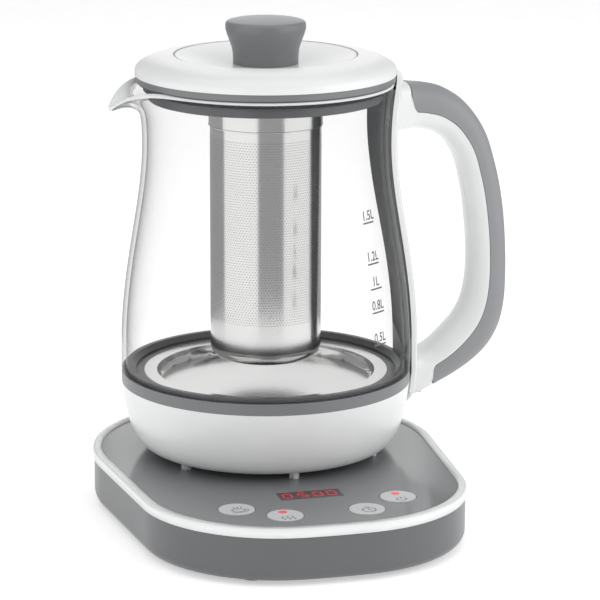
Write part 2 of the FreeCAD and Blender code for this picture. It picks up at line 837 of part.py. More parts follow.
def bowl_shell():
    """The white bowl under the glass, with its pegs, its bosses and the hole for the coupling."""
    hole = size.coupling_radius + size.coupling_hole_clearance
    outer = bowl_side(0, size.bowl_level)
    inner = bowl_side(size.bowl_wall, bowl_floor_top)
    top_radius = size.ring_radius - size.bowl_wall
    shell = lathed([
        outer,
        inner,
        *path([(size.ring_radius, bowl_top), (top_radius, bowl_top)]),
        *path([(bowl_floor_radius, bowl_floor_top), (hole, bowl_floor_top),
               (hole, size.bowl_level), (bowl_floor_radius, size.bowl_level)]),
    ])
    for x, y in peg_places:
        shell = shell.fuse(drum(size.peg_radius, 0, size.bowl_level + size.bowl_wall / 2, x, y))
    boss_top = size.bowl_level + size.kettle_boss_height
    recess_top = size.bowl_level + size.kettle_screw_recess
    for x, y in stud_places:
        shell = shell.fuse(drum(size.kettle_boss_radius, size.bowl_level, boss_top, x, y))
    for x, y in stud_places:
        shell = shell.cut(drum(size.screw_head_radius + size.screw_clearance, 0, recess_top, x, y))
        shell = shell.cut(drum(size.screw_radius + size.screw_clearance, 0, boss_top, x, y))
    pad_end = handle_screw_head + size.handle_screw_pad
    for y in handle_screw_sides:
        shell = shell.fuse(handle_screw_way(size.kettle_boss_radius, handle_screw_head, pad_end, y))
    for y in handle_screw_sides:
        shell = shell.cut(handle_screw_way(size.screw_radius, handle_screw_head, size.ring_radius, y))
    return shell


def kettle_screws():
    """Three screws from below that pull the bowl up against the heating plate."""
    head_bottom = size.bowl_level + size.kettle_screw_recess - size.screw_head_height
    head_top = size.bowl_level + size.kettle_screw_recess
    tip = head_top + size.kettle_screw_length
    radius = size.stud_bore - size.thread_clearance
    single = screw(radius, size.screw_head_radius, head_bottom, head_top, tip)
    return Part.makeCompound([single.translated(Vector(x, y, 0)) for x, y in stud_places])


def heating_plate():
    """The steel plate: a shallow pan with a flange, and three studs welded beneath."""
    wall = size.plate_thickness
    floor = flange_level - size.plate_depth
    bend = size.plate_corner
    pan = plate_pan_radius
    outline = [
        (0, pan_bottom), (pan - bend, pan_bottom), (pan, pan_bottom + bend), (pan, flange_level - wall),
        (plate_radius, flange_level - wall), (plate_radius, flange_level),
        (pan - wall, flange_level), (pan - wall, floor + bend), (pan - wall - bend, floor), (0, floor),
        (0, pan_bottom),
    ]
    plate = lathed(path(outline))
    stud_bottom = size.bowl_level + size.kettle_boss_height
    for x, y in stud_places:
        stud = drum(size.stud_radius, stud_bottom, pan_bottom, x, y)
        plate = plate.fuse(stud.cut(drum(size.stud_bore, stud_bottom, pan_bottom - wall, x, y)))
    return plate


def heating_element():
    """The sheathed element: an open ring under the spreader, with both ends turned down."""
    radius = size.element_radius
    level = spreader_bottom - radius
    gap = (360 - size.element_sweep) / 2
    ring = Part.makeTorus(element_circle, radius, CENTRE, UP, -180, 180, size.element_sweep)
    ring.rotate(CENTRE, UP, gap + 180)
    ring.translate(Vector(0, 0, level))
    for angle in (math.radians(180 + gap), math.radians(180 - gap)):
        x = element_circle * math.cos(angle)
        y = element_circle * math.sin(angle)
        knee = Part.makeSphere(radius, Vector(x, y, level))
        tail = drum(radius, level - size.element_tail, level, x, y)
        ring = ring.fuse([knee, tail])
    return ring


shaped("bowl_shell", bowl_shell(), PANEL)
shaped("kettle_screws", kettle_screws(), PANEL)
shaped("heating_plate", heating_plate(), PANEL)
shaped("heating_element", heating_element(), PANEL)

turned("clamp_ring", [
    (ring_ledge_radius, size.ring_level),
    (size.ring_radius, size.ring_level),
    (size.ring_radius, ring_top),
    (glass_inner_foot, ring_top),
    (glass_inner_foot, ledge_top),
    (ring_ledge_radius, ledge_top),
], PANEL)
turned("glass_seal", [
    (glass_inner_foot - size.seal_width, ledge_top),
    (glass_inner_foot, ledge_top),
    (glass_inner_foot, ring_top + size.seal_rise),
    (glass_inner_foot - size.seal_width / 2, ring_top + size.seal_rise),
    (glass_inner_foot - size.seal_width, ring_top),
], PANEL)
turned("plate_gasket", [
    (ring_ledge_radius, ledge_top),
    (glass_inner_foot - size.seal_width, ledge_top),
    (glass_inner_foot - size.seal_width, flange_level),
    (plate_radius, flange_level),
    (plate_radius, flange_level - size.plate_thickness),
    (ring_ledge_radius, flange_level - size.plate_thickness),
], PANEL)
turned("heat_spreader", [
    (size.sensor_radius + size.sensor_clearance, spreader_bottom),
    (spreader_radius, spreader_bottom),
    (spreader_radius, pan_bottom),
    (size.sensor_radius + size.sensor_clearance, pan_bottom),
], PANEL)
sensor_cap = size.sensor_radius * 1.6
turned("temperature_sensor", [
    (AXIS, size.coupling_top),
    (sensor_cap, size.coupling_top),
    (sensor_cap, spreader_bottom - size.spreader_thickness),
    (size.sensor_radius, spreader_bottom - size.spreader_thickness),
    (size.sensor_radius, pan_bottom),
    (AXIS, pan_bottom),
], PANEL)
cutout_x = (element_circle - size.element_radius + sensor_cap) / 2
turned("thermal_cutout", [
    (AXIS, spreader_bottom - size.cutout_height),
    (size.cutout_radius * 0.6, spreader_bottom - size.cutout_height),
    (size.cutout_radius, spreader_bottom - size.cutout_height / 2),
    (size.cutout_radius, spreader_bottom),
    (AXIS, spreader_bottom),
], PANEL, cutout_x)

socket_bottom = size.bowl_level - size.hub_flange_height
socket_bore = size.tower_radius + size.sleeve_wall + size.coupling_clearance
core_radius = size.tower_inner_radius - size.coupling_clearance
pin_bore = size.contact_pin_radius + size.coupling_clearance
groove_top = size.tower_height + size.coupling_clearance * 3
pin_top = size.contact_pin_height + size.coupling_clearance * 3
turned("kettle_coupling", [
    (AXIS, pin_top),
    (pin_bore, pin_top),
    (pin_bore, socket_bottom),
    (core_radius, socket_bottom),
    (core_radius, groove_top),
    (socket_bore, groove_top),
    (socket_bore, size.bowl_level),
    (size.coupling_radius, size.bowl_level),
    (size.coupling_radius, bowl_floor_top),
    (size.coupling_flange_radius, bowl_floor_top),
    (size.coupling_flange_radius, bowl_floor_top + size.coupling_flange_height),
    (size.coupling_radius, bowl_floor_top + size.coupling_flange_height),
    (size.coupling_radius, size.coupling_top),
    (AXIS, size.coupling_top),
], PANEL)

# Glass, drawn over the panel

glass_stations = [
    (glass_foot_radius, ring_top),
    (glass_belly_radius, size.glass_belly_level),
    (glass_slope_radius, size.glass_slope_level),
    (glass_shoulder_radius, size.glass_shoulder_level),
    (neck_radius, size.neck_level),
    (glass_rim_radius, size.glass_rim_level),
]


def glass_side(offset):
    """The glass's side as one smooth curve, set out or in by an offset."""
    return smooth([(radius + offset, level) for radius, level in glass_stations], (0, 1), (0.15, 1))


def glass_drum(offset):
    """Everything inside the glass's side, as a solid."""
    outer_foot = glass_foot_radius + offset
    outer_rim = glass_rim_radius + offset
    return lathed([
        glass_side(offset),
        *path([(outer_rim, size.glass_rim_level), (0, size.glass_rim_level),
               (0, ring_top), (outer_foot, ring_top)]),
    ])


def spout_section(reach, half_width, depth, grow):
    """A U across the spout: open at the rim, rounded beneath, grown by the wall."""
    wide = half_width + grow
    top = float(size.glass_rim_level + size.spout_tip_drop)
    low = float(size.glass_rim_level - depth - grow)
    knee = low + wide * 0.8 if low + wide * 0.8 < top - 1 else top - 1
    x = -float(reach)
    right = Vector(x, wide, top)
    left = Vector(x, -wide, top)
    return Part.Wire([
        Part.makeLine(left, right),
        Part.makeLine(right, Vector(x, wide, knee)),
        Part.Arc(Vector(x, wide, knee), Vector(x, 0, low), Vector(x, -wide, knee)).toShape(),
        Part.makeLine(Vector(x, -wide, knee), left),
    ])


def spout_form(grow):
    """The spout's channel: deep and wide at the neck, narrow and shallow at the tip."""
    root = neck_radius * 0.8
    reach = spout_reach - root
    tip_depth = size.spout_tip_drop + size.spout_tip_depth
    root_half = float(size.spout_root_half_width)
    tip_half = float(size.spout_tip_half_width)
    root_depth = float(size.spout_root_depth)
    sections = []
    for share in (0.0, 0.42, 0.68, 1.0):
        half_width = root_half + (tip_half - root_half) * share
        depth = tip_depth + (root_depth - tip_depth) * (1 - share) ** 2.6
        sections.append(spout_section(root + reach * share, half_width, depth, grow))
    return Part.makeLoft(sections, True, False)


def glass_body():
    """The glass wall with its drawn-out pouring spout."""
    wall = float(size.glass_wall)
    outer = glass_drum(0).fuse(spout_form(0))
    inner = glass_drum(-wall).fuse(spout_form(-wall))
    body = outer.cut(inner)
    rim = size.glass_rim_level
    top = rim + size.spout_tip_drop * 2
    slope = path([
        (-neck_radius, rim), (-spout_reach - wall, rim - size.spout_tip_drop),
        (-spout_reach - wall, top), (-neck_radius, top), (-neck_radius, rim),
    ])
    above = Part.Face(Part.Wire(slope)).extrude(Vector(0, size.spout_root_half_width * 4, 0))
    above.translate(Vector(0, -size.spout_root_half_width * 2, 0))
    span = size.handle_reach
    level_cut = Part.makeBox(span * 2, span * 2, top - rim, Vector(-span, -span, rim))
    return body.cut(above).cut(level_cut)


shaped("glass_body", glass_body(), PANEL)


# Handle, drawn over the panel

strip_offset = size.strip_gap + size.backing_thickness
strip_outer = strip_offset + size.strip_thickness


def kettle_core(offset):
    """The kettle's outside, from the bowl's floor past the rim, as one solid grown by an offset."""
    rim_radius = glass_rim_radius + offset
    ring = drum(glass_foot_radius + offset, bowl_top, ring_top)
    neck_top = size.glass_rim_level + size.lid_gap + size.lid_flange_height
    neck = drum(rim_radius, size.glass_rim_level, neck_top)
    foot = bowl_floor_radius
    bowl = lathed([
        bowl_side(-offset, size.bowl_level),
        *path([(size.ring_radius + offset, bowl_top), (0, bowl_top),
               (0, size.bowl_level), (foot, size.bowl_level)]),
    ])
    return glass_drum(offset).fuse([ring, neck, bowl])


def strip_prism(margin, top, tail):
    """The strip's outline seen from the handle's side: tapered, with a pointed tail."""
    wide = size.strip_half_width - margin
    narrow = size.strip_foot_half_width - margin
    shoulder = tail + narrow
    start = float(neck_radius / 2)
    corners = [(-wide, top), (wide, top), (narrow, shoulder), (0, tail), (-narrow, shoulder), (-wide, top)]
    outline = Part.makePolygon([Vector(start, y, level) for y, level in corners])
    return Part.Face(outline).extrude(Vector(size.handle_reach, 0, 0))


def upright(edges, width):
    """A closed chain of edges in the XZ plane, thickened to both sides of the middle."""
    face = Part.Face(Part.Wire(Part.__sortEdges__(edges)))
    solid = face.extrude(Vector(0, width, 0))
    solid.translate(Vector(0, -width / 2, 0))
    return solid


reach = size.handle_reach
reach_level = size.handle_reach_level
top_level = size.handle_top_level
bottom_level = size.handle_bottom_level
handle_root = glass_rim_radius
hoop_foot = (size.ring_radius + size.handle_foot_reach, bottom_level - size.handle_foot_drop)


def hoop_spot(inner, outer, top, across, up):
    """A spot of the handle's side view: shares of the way out, and up or down from its widest level."""
    height = top - reach_level if up > 0 else reach_level - bottom_level
    return inner + (outer - inner) * across, reach_level + height * up


def handle_loop():
    """The whole handle before it is parted: a rounded hoop with the finger opening."""
    outside = [(0, 1), (0.289, 0.993), (0.505, 0.944), (0.727, 0.842), (0.861, 0.683), (0.961, 0.389),
               (1, 0.028), (0.953, -0.315), (0.761, -0.62), (0.502, -0.843)]
    back = smooth([hoop_spot(handle_root, reach, top_level, *spot) for spot in outside] + [hoop_foot])
    hoop = upright([back, *path([hoop_foot, (handle_root, hoop_foot[1]), (handle_root, top_level)])],
                   size.handle_width)
    opening_top = (neck_radius + strip_outer + size.opening_margin, top_level - size.opening_drop)
    opening_foot = (size.ring_radius + size.opening_foot_reach, bottom_level + size.opening_foot_rise)
    palm = reach - size.handle_depth
    inside = [(0.44, 0.987), (0.679, 0.906), (0.806, 0.726), (0.953, 0.457), (1, 0.116), (0.972, -0.111),
              (0.706, -0.411)]
    spots = [hoop_spot(opening_top[0], palm, opening_top[1], *spot) for spot in inside]
    finger = smooth([opening_top, *spots, opening_foot])
    waist = (glass_slope_radius + strip_outer + size.opening_strip_cover, size.glass_slope_level)
    opening = upright([finger, smooth([opening_foot, waist, opening_top])], size.handle_width)
    hoop = hoop.makeFillet(size.handle_edge_radius, long_edges(hoop))
    opening = opening.cut(kettle_core(strip_outer))
    return hoop.cut(opening).cut(kettle_core(strip_offset))


def long_edges(solid):
    """The two curved outer edges of an upright slab."""
    edges = [edge for edge in solid.Edges if edge.Curve.TypeId == "Part::GeomBSplineCurve"]
    return [edge for edge in edges if edge.BoundBox.YLength < 1e-4]


def grip_region():
    """Everything on the inner side of the line where the grey grip meets the white handle."""
    top = top_level - size.grip_top_depth
    parting = [(0, 1.022), (0.279, 1.005), (0.426, 0.994), (0.698, 0.883), (0.851, 0.724), (0.958, 0.373),
               (1.004, -0.056), (0.955, -0.348), (0.73, -0.622), (0.475, -0.774), (0.417, -1.037)]
    spots = [hoop_spot(handle_root, reach - size.grip_depth, top, *spot) for spot in parting]
    below = bottom_level - size.handle_width
    middle = neck_radius / 2
    edges = [smooth(spots), *path([
        spots[-1], (spots[-1][0], below), (middle, below), (middle, spots[0][1]), spots[0],
    ])]
    return upright(edges, size.handle_width * 2)


loop = handle_loop()
inner_region = grip_region()
strip = kettle_core(strip_outer).cut(kettle_core(strip_offset))
strip = strip.common(strip_prism(0, size.strip_top_level, size.strip_tail_level))


def with_screw_holes(solid):
    """A piece of the handle with the holes for its two screws."""
    for y in handle_screw_sides:
        solid = solid.cut(handle_screw_way(size.screw_radius, handle_screw_head, handle_screw_tip, y))
    return solid


def handle_body():
    """The white handle: the inner half of the hoop, and the strip that hugs the glass."""
    return with_screw_holes(loop.common(inner_region).fuse(strip))


def handle_grip():
    """The grey grip: the outer half of the hoop."""
    return with_screw_holes(loop.cut(inner_region).cut(strip))


def handle_backing():
    """The grey sheet between the strip and the glass."""
    sheet_form = kettle_core(strip_offset).cut(kettle_core(size.strip_gap))
    margin = size.backing_thickness
    outline = strip_prism(margin, size.backing_top_level, ring_top + margin)
    return sheet_form.common(outline)


def handle_screws():
    """Two screws from inside the bowl that hold the handle's foot."""
    shank_radius = size.screw_radius - size.thread_clearance
    pieces = []
    for y in handle_screw_sides:
        shank = handle_screw_way(shank_radius, handle_screw_head, handle_screw_tip - size.screw_radius, y)
        head_start = handle_screw_head - size.screw_head_height
        head = handle_screw_way(size.screw_head_radius, head_start, handle_screw_head, y)
        pieces.append(head.fuse(shank).removeSplitter())
    return Part.makeCompound(pieces)


shaped("handle_body", handle_body(), PANEL)
shaped("handle_grip", handle_grip(), PANEL)
shaped("handle_backing", handle_backing(), PANEL)
shaped("handle_screws", handle_screws(), PANEL)

# Lid, drawn over the rim of the glass

lid_bottom = size.lid_gap
lid_seat = size.lid_gap + size.lid_flange_height
deck_top = size.lid_gap + size.lid_deck_thickness
dish_bottom = size.dish_floor_level - size.dish_wall
knob_hole = size.screw_radius + size.screw_clearance
collar_radius = size.infuser_radius + size.collar_wall
socket_radius = collar_radius + size.socket_clearance
socket_bottom_level = size.lid_gap - size.socket_depth
lug_top = -size.lug_drop
infuser_top = lug_top + size.lug_clearance


def sector(inner, outer, low, high, start, end):
    """A piece of a ring between two angles in degrees."""
    corners = [(inner, low), (outer, low), (outer, high), (inner, high), (inner, low)]
    face = Part.Face(Part.Wire(path(corners)))
    piece = face.revolve(CENTRE, UP, end - start)
    piece.rotate(CENTRE, UP, start)
    return piece


def pour_notch(low, high):
    """The space that the spout needs through the lid's skirt and seal."""
    half = size.pour_notch_half_width
    start = Vector(-lid_flange_radius - size.lid_wall, -half, low)
    return Part.makeBox(lid_flange_radius / 2, half * 2, high - low, start)


def lid_base():
    """The grey underside of the lid: the flange on the glass, the deck and the knob's boss."""
    flange_inner = lid_flange_radius - size.lid_wall
    return lathed(path([
        (knob_hole, lid_bottom), (lid_flange_radius, lid_bottom), (lid_flange_radius, lid_seat),
        (flange_inner, lid_seat), (flange_inner, deck_top), (size.lid_boss_radius, deck_top),
        (size.lid_boss_radius, dish_bottom), (knob_hole, dish_bottom), (knob_hole, lid_bottom),
    ]))


def lid_skirt():
    """The ring under the deck that carries the seal, with its pouring notch."""
    skirt_bottom = size.lid_gap - size.skirt_depth
    skirt_inner = skirt_radius - size.skirt_wall
    skirt = lathed(path([
        (skirt_inner, skirt_bottom), (skirt_radius, skirt_bottom), (skirt_radius, lid_bottom),
        (skirt_inner, lid_bottom), (skirt_inner, skirt_bottom),
    ]))
    return skirt.cut(pour_notch(skirt_bottom, skirt_bottom + size.pour_notch_height))


def infuser_socket():
    """The ring under the deck that holds the infuser, with three bayonet grooves."""
    socket_outer = socket_radius + size.socket_wall
    socket = lathed(path([
        (socket_radius, socket_bottom_level), (socket_outer, socket_bottom_level),
        (socket_outer, lid_bottom), (socket_radius, lid_bottom), (socket_radius, socket_bottom_level),
    ]))
    groove_low = lug_top - size.lug_height - size.lug_clearance
    groove_high = lug_top + size.lug_clearance
    groove_radius = collar_radius + size.lug_rise + size.lug_clearance
    margin = size.lug_half_angle + size.lug_clearance * 3
    for turn in (0, 120, 240):
        end = turn + size.bayonet_turn
        run = sector(socket_radius - 1, groove_radius, groove_low, groove_high, turn - margin, end + margin)
        way = sector(socket_radius - 1, groove_radius, socket_bottom_level, groove_high,
                     end - margin, end + margin)
        socket = socket.cut(run).cut(way)
    return socket


def lid_seal():
    """The soft ring between the lid's skirt and the glass, open at the spout."""
    bead = size.lid_seal_lip
    lip = glass_rim_radius - size.glass_wall - size.lid_seal_clearance - size.lid_seal_squeeze
    tip = -size.lid_seal_depth
    rib = lip - bead
    seal = lathed(path([
        (skirt_radius, tip), (rib, tip), (lip, tip + bead), (rib, tip + bead * 2), (rib, 0),
        (glass_rim_radius - size.lid_seal_clearance, 0),
        (glass_rim_radius - size.lid_seal_clearance, lid_bottom), (skirt_radius, lid_bottom),
        (skirt_radius, tip),
    ]))
    return seal.cut(pour_notch(tip, 0))


def lid_ring():
    """The white outer ring of the lid, crowned towards its inner edge."""
    edge = lid_seat + size.lid_edge_height
    inner_edge = dish_radius + size.dish_gap
    wall = size.lid_wall
    crown = size.lid_crown_level
    outer = Part.BezierCurve()
    brow = crown - size.lid_brow_drop
    shoulder = size.lid_radius - size.lid_shoulder_inset
    shoulder_level = crown - size.lid_shoulder_drop
    outer.setPoles([Vector(size.lid_radius, 0, edge), Vector(size.lid_radius - size.lid_edge_draw, 0, brow),
                    Vector(shoulder, 0, shoulder_level), Vector(inner_edge, 0, crown)])
    inner = Part.BezierCurve()
    inner.setPoles([Vector(size.lid_radius - wall, 0, edge),
                    Vector(size.lid_radius - wall, 0, brow - wall / 2),
                    Vector(shoulder - wall, 0, shoulder_level - wall), Vector(inner_edge, 0, crown - wall)])
    return lathed([
        outer.toShape(), inner.toShape(),
        *path([(inner_edge, crown), (inner_edge, crown - wall)]),
        *path([(size.lid_radius, edge), (size.lid_radius, lid_seat),
               (size.lid_radius - wall, lid_seat), (size.lid_radius - wall, edge)]),
    ])


def knob():
    """The grey knob: waisted above its foot, wider at the top, with a low dome."""
    foot = size.dish_floor_level
    crease = foot + size.knob_height
    base = size.knob_base_radius
    waist = size.knob_waist_height
    flare = size.knob_radius - base
    side = smooth([
        (base, foot + waist / 3), (base - flare * 0.08, foot + waist),
        (base + flare * 0.25, foot + size.knob_height * 0.4),
        (base + flare * 0.58, foot + size.knob_height * 0.6), (size.knob_radius, crease),
    ])
    radius = (size.knob_radius ** 2 + size.knob_dome ** 2) / (2 * size.knob_dome)
    ball = Part.makeSphere(radius, Vector(0, 0, crease + size.knob_dome - radius))
    stem = lathed([side, *path([(size.knob_radius, crease), (0, crease), (0, foot), (base, foot),
                                (base, foot + waist / 3)])])
    solid = stem.fuse(ball.common(drum(size.knob_radius, crease, crease + size.knob_dome)))
    return solid.removeSplitter().cut(drum(size.screw_radius, foot, foot + size.knob_screw_depth))


shaped("lid_base", lid_base(), GLASS_RIM)
shaped("lid_skirt", lid_skirt(), GLASS_RIM)
shaped("infuser_socket", infuser_socket(), GLASS_RIM)
shaped("lid_seal", lid_seal(), GLASS_RIM)
shaped("lid_ring", lid_ring(), GLASS_RIM)
shaped("knob", knob(), GLASS_RIM)

dish_edge = dish_radius - size.dish_gap
dish_lip = size.lid_crown_level - size.lid_wall - size.dish_flange_drop
dish_flange_edge = dish_edge + size.dish_flange_width
turned("lid_dish", [
    (knob_hole, dish_bottom),
    (size.dish_floor_radius + size.dish_wall / 2, dish_bottom),
    (dish_edge - size.dish_wall, dish_lip - size.dish_wall),
    (dish_flange_edge, dish_lip - size.dish_wall),
    (dish_flange_edge, dish_lip),
    (dish_edge, dish_lip),
    (dish_edge, size.lid_crown_level - size.dish_gap),
    (dish_edge - size.dish_gap * 3, size.lid_crown_level - size.dish_gap),
    (size.dish_floor_radius, size.dish_floor_level),
    (knob_hole, size.dish_floor_level),
], GLASS_RIM)
knob_screw_tip = size.dish_floor_level + size.knob_screw_depth - size.screw_clearance
turned("knob_screw", [
    (AXIS, lid_bottom - size.screw_head_height),
    (size.screw_head_radius, lid_bottom - size.screw_head_height),
    (size.screw_head_radius, lid_bottom),
    (size.screw_radius - size.thread_clearance, lid_bottom),
    (size.screw_radius - size.thread_clearance, knob_screw_tip - size.screw_radius),
    (AXIS, knob_screw_tip),
], GLASS_RIM)

# Infuser, drawn over the rim of the glass


def infuser_tube():
    """The thin steel tube that holds the tea, with a rounded bottom."""
    radius = float(size.infuser_radius)
    wall = float(size.infuser_wall)
    corner = float(size.infuser_corner)
    low = float(infuser_top - size.infuser_length)
    high = float(infuser_top)
    slant = math.sqrt(0.5)

    def bend(outer_radius):
        middle = Vector(radius - corner, 0, low + corner)
        return Part.Arc(middle - Vector(0, 0, outer_radius), middle + Vector(slant, 0, -slant) * outer_radius,
                        middle + Vector(outer_radius, 0, 0)).toShape()

    return lathed([
        bend(corner), bend(corner - wall),
        *path([(radius, low + corner), (radius, high), (radius - wall, high), (radius - wall, low + corner)]),
        *path([(radius - corner, low + wall), (0, low + wall), (0, low), (radius - corner, low)]),
    ])


def infuser_collar():
    """The steel band round the tube's top, with three bayonet lugs."""
    low = infuser_top - size.collar_length
    band = drum(collar_radius, low, infuser_top).cut(drum(size.infuser_radius, low, infuser_top))
    for turn in (0, 120, 240):
        half = size.lug_half_angle
        lug = sector(size.infuser_radius, collar_radius + size.lug_rise, lug_top - size.lug_height, lug_top,
                     turn - half, turn + half)
        band = band.fuse(lug)
    return band


shaped("infuser_tube", infuser_tube(), GLASS_RIM)
shaped("infuser_collar", infuser_collar(), GLASS_RIM)

# Export

document.recompute()
for thing in document.Objects:
    if "Invalid" in thing.State or "Error" in thing.State:
        raise RuntimeError("%s did not build: %s" % (thing.Name, thing.State))
for node in nodes:
    if node.Shape.isNull() or not node.Shape.isValid():
        raise RuntimeError("%s has no valid shape" % node.Label)
os.makedirs("parts", exist_ok=True)
for node in nodes:
    node.Shape.exportStep("parts/%s.step" % node.Label)
    print(node.Label, len(node.Shape.Solids), round(node.Shape.Volume, 1))
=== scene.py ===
"""The finish of a glass tea maker: its materials, prints, lights and camera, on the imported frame."""

from __future__ import annotations

import json
import logging
import math
from collections.abc import Mapping, Sequence
from dataclasses import dataclass
from enum import Enum

import bmesh
import bpy
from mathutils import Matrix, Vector

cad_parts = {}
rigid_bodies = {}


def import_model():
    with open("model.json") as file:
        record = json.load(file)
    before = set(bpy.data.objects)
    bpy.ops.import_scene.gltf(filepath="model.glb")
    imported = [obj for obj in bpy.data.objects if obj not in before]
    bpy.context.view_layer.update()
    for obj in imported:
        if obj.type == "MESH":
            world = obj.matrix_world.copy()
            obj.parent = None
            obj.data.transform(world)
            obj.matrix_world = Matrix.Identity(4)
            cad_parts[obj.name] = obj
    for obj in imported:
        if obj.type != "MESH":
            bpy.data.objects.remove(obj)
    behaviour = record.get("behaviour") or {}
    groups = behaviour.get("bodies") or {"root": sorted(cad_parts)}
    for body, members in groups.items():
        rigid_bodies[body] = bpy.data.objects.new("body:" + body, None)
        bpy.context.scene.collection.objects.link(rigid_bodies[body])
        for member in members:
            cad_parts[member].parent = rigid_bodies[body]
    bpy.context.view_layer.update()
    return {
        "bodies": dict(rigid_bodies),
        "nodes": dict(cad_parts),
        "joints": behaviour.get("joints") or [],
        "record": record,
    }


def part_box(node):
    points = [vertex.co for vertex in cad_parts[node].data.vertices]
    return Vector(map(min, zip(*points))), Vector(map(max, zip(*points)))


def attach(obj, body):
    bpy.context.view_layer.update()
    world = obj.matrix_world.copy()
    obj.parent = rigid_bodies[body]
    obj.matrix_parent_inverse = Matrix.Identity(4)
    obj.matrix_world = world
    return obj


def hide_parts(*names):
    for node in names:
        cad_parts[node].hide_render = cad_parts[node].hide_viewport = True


LOG = logging.getLogger("tea_maker")
MM = 0.001
TURN = 2 * math.pi
# the mesh attribute that places the painted highlight band and the painted dark line along the glass's lip
PAINTED_RIM_ATTRIBUTE = "lip"

Colour = tuple[float, float, float]
Spot = tuple[float, float]
Place = tuple[float, float, float]


class Wire:
    """An output socket of a node tree, on which arithmetic adds Math nodes."""

    def __init__(self, graph: Graph, socket: bpy.types.NodeSocket) -> None:
        """Keeps the tree and the socket."""
        self.graph = graph
        self.socket = socket

    def sum_of(self, operation: str, *others: Wire | float) -> Wire:
        """A Math node on this value.

        Args:
            operation: The Math node's operation.
            others: The values of its other sockets.

        Returns:
            The node's result.
        """
        return self.graph.node("ShaderNodeMath", {"operation": operation}, dict(enumerate((self, *others))))

    def after(self, operation: str, first: float) -> Wire:
        """A Math node with a plain number ahead of this value."""
        return self.graph.node("ShaderNodeMath", {"operation": operation}, {0: first, 1: self})

    def __add__(self, other: Wire | float) -> Wire:
        """This value plus another."""
        return self.sum_of("ADD", other)

    def __radd__(self, other: float) -> Wire:
        """A number plus this value."""
        return self.after("ADD", other)

    def __sub__(self, other: Wire | float) -> Wire:
        """This value less another."""
        return self.sum_of("SUBTRACT", other)

    def __rsub__(self, other: float) -> Wire:
        """A number less this value."""
        return self.after("SUBTRACT", other)

    def __mul__(self, other: Wire | float) -> Wire:
        """This value times another."""
        return self.sum_of("MULTIPLY", other)

    def __rmul__(self, other: float) -> Wire:
        """A number times this value."""
        return self.after("MULTIPLY", other)

    def __truediv__(self, other: Wire | float) -> Wire:
        """This value over another."""
        return self.sum_of("DIVIDE", other)

    def __pow__(self, other: Wire | float) -> Wire:
        """This value to a power."""
        return self.sum_of("POWER", other)

    def clamped(self) -> Wire:
        """This value, kept from 0 to 1."""
        return self.sum_of("MAXIMUM", 0.0).sum_of("MINIMUM", 1.0)


class Graph:
    """A node tree that is written as calls."""

    def __init__(self, tree: bpy.types.NodeTree) -> None:
        """Keeps the tree."""
        self.tree = tree

    def node(
        self,
        kind: str,
        settings: Mapping[str, object] | None = None,
        links: Mapping[int | str, object] | None = None,
        output: int | str = 0,
    ) -> Wire:
        """Adds a node.

        Args:
            kind: The node's type.
            settings: Its own settings, set first. "stops" fills a colour ramp, "points" a curve.
            links: A value or a wire for each of its sockets, by number or name.
            output: The socket that is handed back.

        Returns:
            The wanted output.
        """
        made = self.tree.nodes.new(kind)
        for name, value in (settings or {}).items():
            if name == "stops":
                ramp = made.color_ramp
                while len(ramp.elements) < len(value):
                    ramp.elements.new(1.0)
                for element, (spot, colour) in zip(ramp.elements, value):
                    element.position = spot
                    element.color = colour
            elif name == "points":
                curve = made.mapping.curves[0]
                while len(curve.points) < len(value):
                    curve.points.new(0.5, 0.5)
                for point, spot in zip(curve.points, value):
                    point.location = spot
                made.mapping.update()
            else:
                setattr(made, name, value)
        for name, value in (links or {}).items():
            if isinstance(value, Wire):
                self.tree.links.new(value.socket, made.inputs[name])
            else:
                made.inputs[name].default_value = value
        return Wire(self, made.outputs[output])

    def mixed(self, factor: Wire | float, first: Colour, second: Colour) -> Wire:
        """A colour between two others."""
        links = {0: factor, 6: (*first, 1.0), 7: (*second, 1.0)}
        return self.node("ShaderNodeMix", {"data_type": "RGBA"}, links, 2)

    def noise(self, place: Wire, scale: float, detail: float = 3.0) -> Wire:
        """Cloudy noise from 0 to 1."""
        return self.node("ShaderNodeTexNoise", {}, {"Vector": place, "Scale": scale, "Detail": detail})

    def stretched(self, scale: Place, shift: Place = (0.0, 0.0, 0.0)) -> Wire:
        """The piece's own coordinates, stretched and shifted."""
        own = self.node("ShaderNodeTexCoord", {}, {}, "Object")
        return self.node("ShaderNodeMapping", {}, {"Vector": own, "Location": shift, "Scale": scale})


class Grain(Enum):
    """How a surface is worked."""

    MOULDED = "moulded"
    POLISHED = "polished"
    BRUSHED_ROUND = "brushed in rings about the kettle's axis"
    BRUSHED_BAND = "brushed along a band round the kettle's axis"
    CAST = "cast or pressed"
    PRINT = "printed"
    LIT = "lit from behind"
    CLEAR = "clear"


